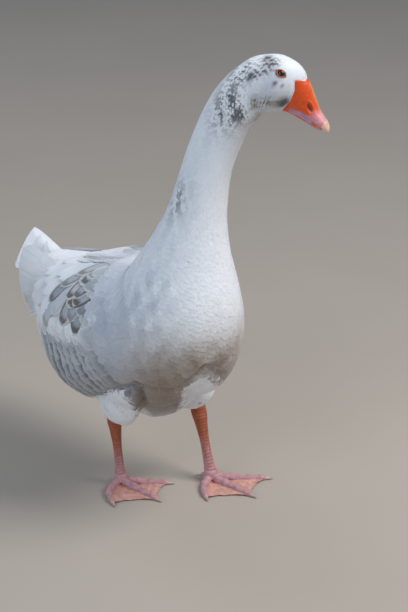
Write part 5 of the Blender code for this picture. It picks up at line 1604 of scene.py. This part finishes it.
class SCENE_OT_goose_legs(bpy.types.Operator):
    """Scaly shanks, toes with their webs, and claws"""
    bl_idname = "scene.goose_legs"
    bl_label = "Legs"

    def execute(self, context):
        """Rings down the shanks and along the toes, and a sagging sheet between two toes."""
        colours = context.scene.goose_colours
        for leg in ("right", "left"):
            set_piece(shank(leg, colours), "leg scales", (f"shank_{leg}",))
            self.foot(leg, colours)
        return {"FINISHED"}

    def foot(self, leg, colours):
        """Ankle, toes and hind toe as one piece, each claw as one, and each web as one."""
        _, (ax, ay), scale = SHANKS[leg]
        start = np.array([ax, -ay, 0.0])
        share = np.linspace(0, 1, 150)
        shells, lines = [], []
        for toe, (length, degrees, bow) in TOES[leg].items():
            path, radius, ahead, left = toe_line(start, degrees, length - CLAW_LENGTH, bow, share)
            shells.append(toe_shell(path, radius, left, colours.foot))
            lines.append(path)
            end = unit(ahead * (length - CLAW_LENGTH) - left * bow * math.pi)
            self.claw(f"claw_{leg}_{toe}", path[-1], radius[-1], end, CLAW_DROP, colours)
        turn = full_turn(48)
        height = np.linspace(ANKLE_TOP, 0.004, 40)[:, None]
        swell = smooth(*ANKLE_SWELL, height) * scale
        ankle = np.stack([ANKLE_WIDTH * swell * np.sin(turn), -ANKLE_DEPTH * swell * np.cos(turn),
                          height + 0 * turn], -1)
        shells.append(shell(place(start + ankle), colours.foot))
        middle = math.radians(TOES[leg]["middle"][1])
        inward = HIND_TOE_INWARD if leg == "right" else -HIND_TOE_INWARD
        back = unit(np.array([-math.sin(middle) + inward, math.cos(middle), 0.0]))
        step = np.linspace(0, 1, 40)
        path = start + back * (0.004 + HIND_TOE_LENGTH * step)[:, None]
        path[:, 2] = np.interp(step, (0, 1), HIND_TOE_HEIGHTS)
        radius = np.interp(step, (0, 1), HIND_TOE_RADII)
        shells.append(toe_shell(path, radius, left_of(back), colours.foot, 24))
        self.claw(f"claw_{leg}_hind", path[-1], radius[-1], back, HIND_CLAW_DROP, colours)
        set_piece(join_shells(f"foot_{leg}", shells), "web skin", (f"foot_{leg}",))
        for number, (one, two) in enumerate(zip(lines, lines[1:])):
            self.web(f"web_{leg}_{number + 1}", one, two, share, colours)

    def claw(self, name, end, radius, ahead, drop, colours):
        """A horn claw that tapers and curves down from inside the toe's end."""
        share, turn = np.linspace(0, 1, 26), full_turn(20)
        path = end + ahead * (-CLAW_INSET + (CLAW_LENGTH + CLAW_INSET) * share)[:, None]
        path[:, 2] += drop * share ** 2
        size = CLAW_GIRTH * radius * (1 - share ** 1.5) + 0.0003
        path[:, 2] = np.maximum(path[:, 2], size + 0.0002)
        size = size * np.sqrt(np.clip(1 - np.clip((share - 0.96) / 0.041, 0, 1) ** 2, 0, 1))
        rings = round_rings(path, size[:, None], left_of(ahead), turn)
        tint = tinted(colours.claw, CLAW_TIP, 0.45 * share[:, None] + 0 * turn)
        set_piece(tube(name, place(rings), tint), "nail horn", (name,))

    def web(self, name, one, two, share, colours):
        """The web between two toes: straight lines from toe to toe, sagging, with fine folds."""
        across = np.linspace(0, 1, 41)
        bow = np.sin(math.pi * across)
        reach = WEB_REACH - WEB_NOTCH * bow + WEB_SCALLOP * np.sin(across * math.pi * 5) * bow
        along = np.linspace(WEB_START, 1, 60)[:, None] * reach
        near, far = (np.stack([np.interp(along, share, line[:, k]) for k in range(3)], -1)
                     for line in (one, two))
        upper = near + (far - near) * across[:, None]
        fold = 0.00045 * np.sin(across * 2 * math.pi * 4.5 + 5 * along)
        fold = fold + 0.0003 * np.sin(along * 40 + 3 * across)
        upper[..., 2] *= WEB_HEIGHT - WEB_SAG * bow
        upper[..., 2] += WEB_THICKNESS * 0.7 + fold * bow
        upper = place(upper)
        normals = unit(np.cross(np.gradient(upper, axis=0), np.gradient(upper, axis=1)))
        tint = tinted(colours.web, colours.shank, 0.30 * ease(0.7, 0.0, along / WEB_REACH) * bow)
        mesh = join_vanes(name, upper[None], normals[None], WEB_THICKNESS, along[None], tint[None],
                          np.ones((1, 1, 1, 4)), np.array([[0.5, 0.5]]))
        set_piece(mesh, "web skin")


# Lamps: place, size, watts and colour, then what they look at
LAMPS = (
    ("key", (1.3, -1.5, 2.6), 1.8, 74, (1.0, 0.98, 0.95)),
    ("fill", (-2.6, -1.2, 1.6), 2.4, 32, (0.80, 0.91, 1.0)),
    ("back", (-0.4, 2.4, 2.4), 1.6, 12, (0.90, 0.95, 1.0)),
)
LAMP_TARGET = (0.0, 0.0, 0.38)
# Colour and strength of the sky
SKY = ((0.70, 0.82, 1.0, 1.0), 0.34)
# Floor: radius and height of its rings, its two colours and the size of their clouds
FLOOR_RINGS = ((7.0, -0.004), (7.0, 0.0), (3.0, 0.0))
FLOOR_COLOURS, FLOOR_CLOUD = ("AEA498", "B6ABA0"), 1 / 3
# Camera, in the drawing's own metres
CAMERA_AT, CAMERA_TARGET = (-1.64813, -2.65195, 1.60366), (0.0688, -0.0081, 0.33)
CAMERA_LENS = 125.0


class SCENE_OT_goose_stage(bpy.types.Operator):
    """Pale floor, soft studio light and the camera"""
    bl_idname = "scene.goose_stage"
    bl_label = "Stage"

    def execute(self, context):
        """A round floor, three soft lamps, and the camera on a sphere about its target."""
        turn = full_turn(96)
        rings = [np.stack([r * np.cos(turn), -r * np.sin(turn), 0 * turn + z], 1)
                 for r, z in FLOOR_RINGS]
        tree, shader = new_material("matt floor paint", Roughness=0.8)
        where = add_node(tree, "TexCoord")["Object"]
        cloud = add_node(tree, "TexNoise", Vector=where, Scale=1 / FLOOR_CLOUD, Detail=2.0)["Fac"]
        one, two = ((*linear(code), 1.0) for code in FLOOR_COLOURS)
        paint = add_node(tree, "Mix", COLOUR_MIX, i0=cloud, i6=one, i7=two)[2]
        tree.links.new(paint, shader.inputs["Base Color"])
        mesh = tube("floor", rings)
        mesh.materials.append(bpy.data.materials["matt floor paint"])
        add_object(mesh)
        world = bpy.data.worlds.new("studio")
        world.use_nodes = True
        sky = world.node_tree.nodes["Background"].inputs
        sky["Color"].default_value, sky["Strength"].default_value = SKY
        context.scene.world = world
        context.scene.view_settings.view_transform = "Standard"
        for name, at, size, power, tint in LAMPS:
            lamp = bpy.data.lights.new(name, "AREA")
            lamp.shape, lamp.size, lamp.energy, lamp.color = "DISK", size, power, tint
            aim(add_object(lamp), at, LAMP_TARGET)
        camera = bpy.data.cameras.new("camera")
        camera.lens, camera.sensor_width, camera.sensor_fit = CAMERA_LENS, 36.0, "AUTO"
        context.scene.camera = add_object(camera)
        aim(context.scene.camera, place(CAMERA_AT), place(CAMERA_TARGET))
        return {"FINISHED"}


def aim(obj, at, target):
    """Puts a lamp or camera at a place, looking at a point and level from side to side."""
    obj.location = at
    way = np.asarray(target, float) - np.array(obj.location)
    obj.rotation_euler = (math.atan2(math.hypot(way[0], way[1]), -way[2]), 0.0,
                          math.atan2(-way[0], way[1]))


STEPS = (SCENE_OT_goose_skin, SCENE_OT_goose_coat, SCENE_OT_goose_wings, SCENE_OT_goose_tail,
         SCENE_OT_goose_bill, SCENE_OT_goose_eyes, SCENE_OT_goose_legs, SCENE_OT_goose_stage)


class VIEW3D_PT_goose(bpy.types.Panel):
    """The goose's pieces, sizes and colours"""
    bl_label = "Domestic goose"
    bl_space_type = "VIEW_3D"
    bl_region_type = "UI"
    bl_category = "Goose"

    def draw(self, context):
        """A button for each operator, then every size and colour."""
        for step in STEPS:
            self.layout.operator(step.bl_idname)
        for group in (context.scene.goose_sizes, context.scene.goose_colours):
            for name in group.bl_rna.properties.keys():
                if name not in ("rna_type", "name"):
                    self.layout.prop(group, name)


CLASSES = (GooseSizes, GooseColours, *STEPS, VIEW3D_PT_goose)


def register():
    """Adds the classes and the scene's two groups of properties."""
    for item in CLASSES:
        bpy.utils.register_class(item)
    bpy.types.Scene.goose_sizes = PointerProperty(type=GooseSizes)
    bpy.types.Scene.goose_colours = PointerProperty(type=GooseColours)


def unregister():
    """Takes them away again."""
    del bpy.types.Scene.goose_colours
    del bpy.types.Scene.goose_sizes
    for item in reversed(CLASSES):
        bpy.utils.unregister_class(item)


def main():
    """Registers the add-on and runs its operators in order."""
    register()
    for step in STEPS:
        group, name = step.bl_idname.split(".")
        getattr(getattr(bpy.ops, group), name)()


if __name__ == "__main__":
    main()
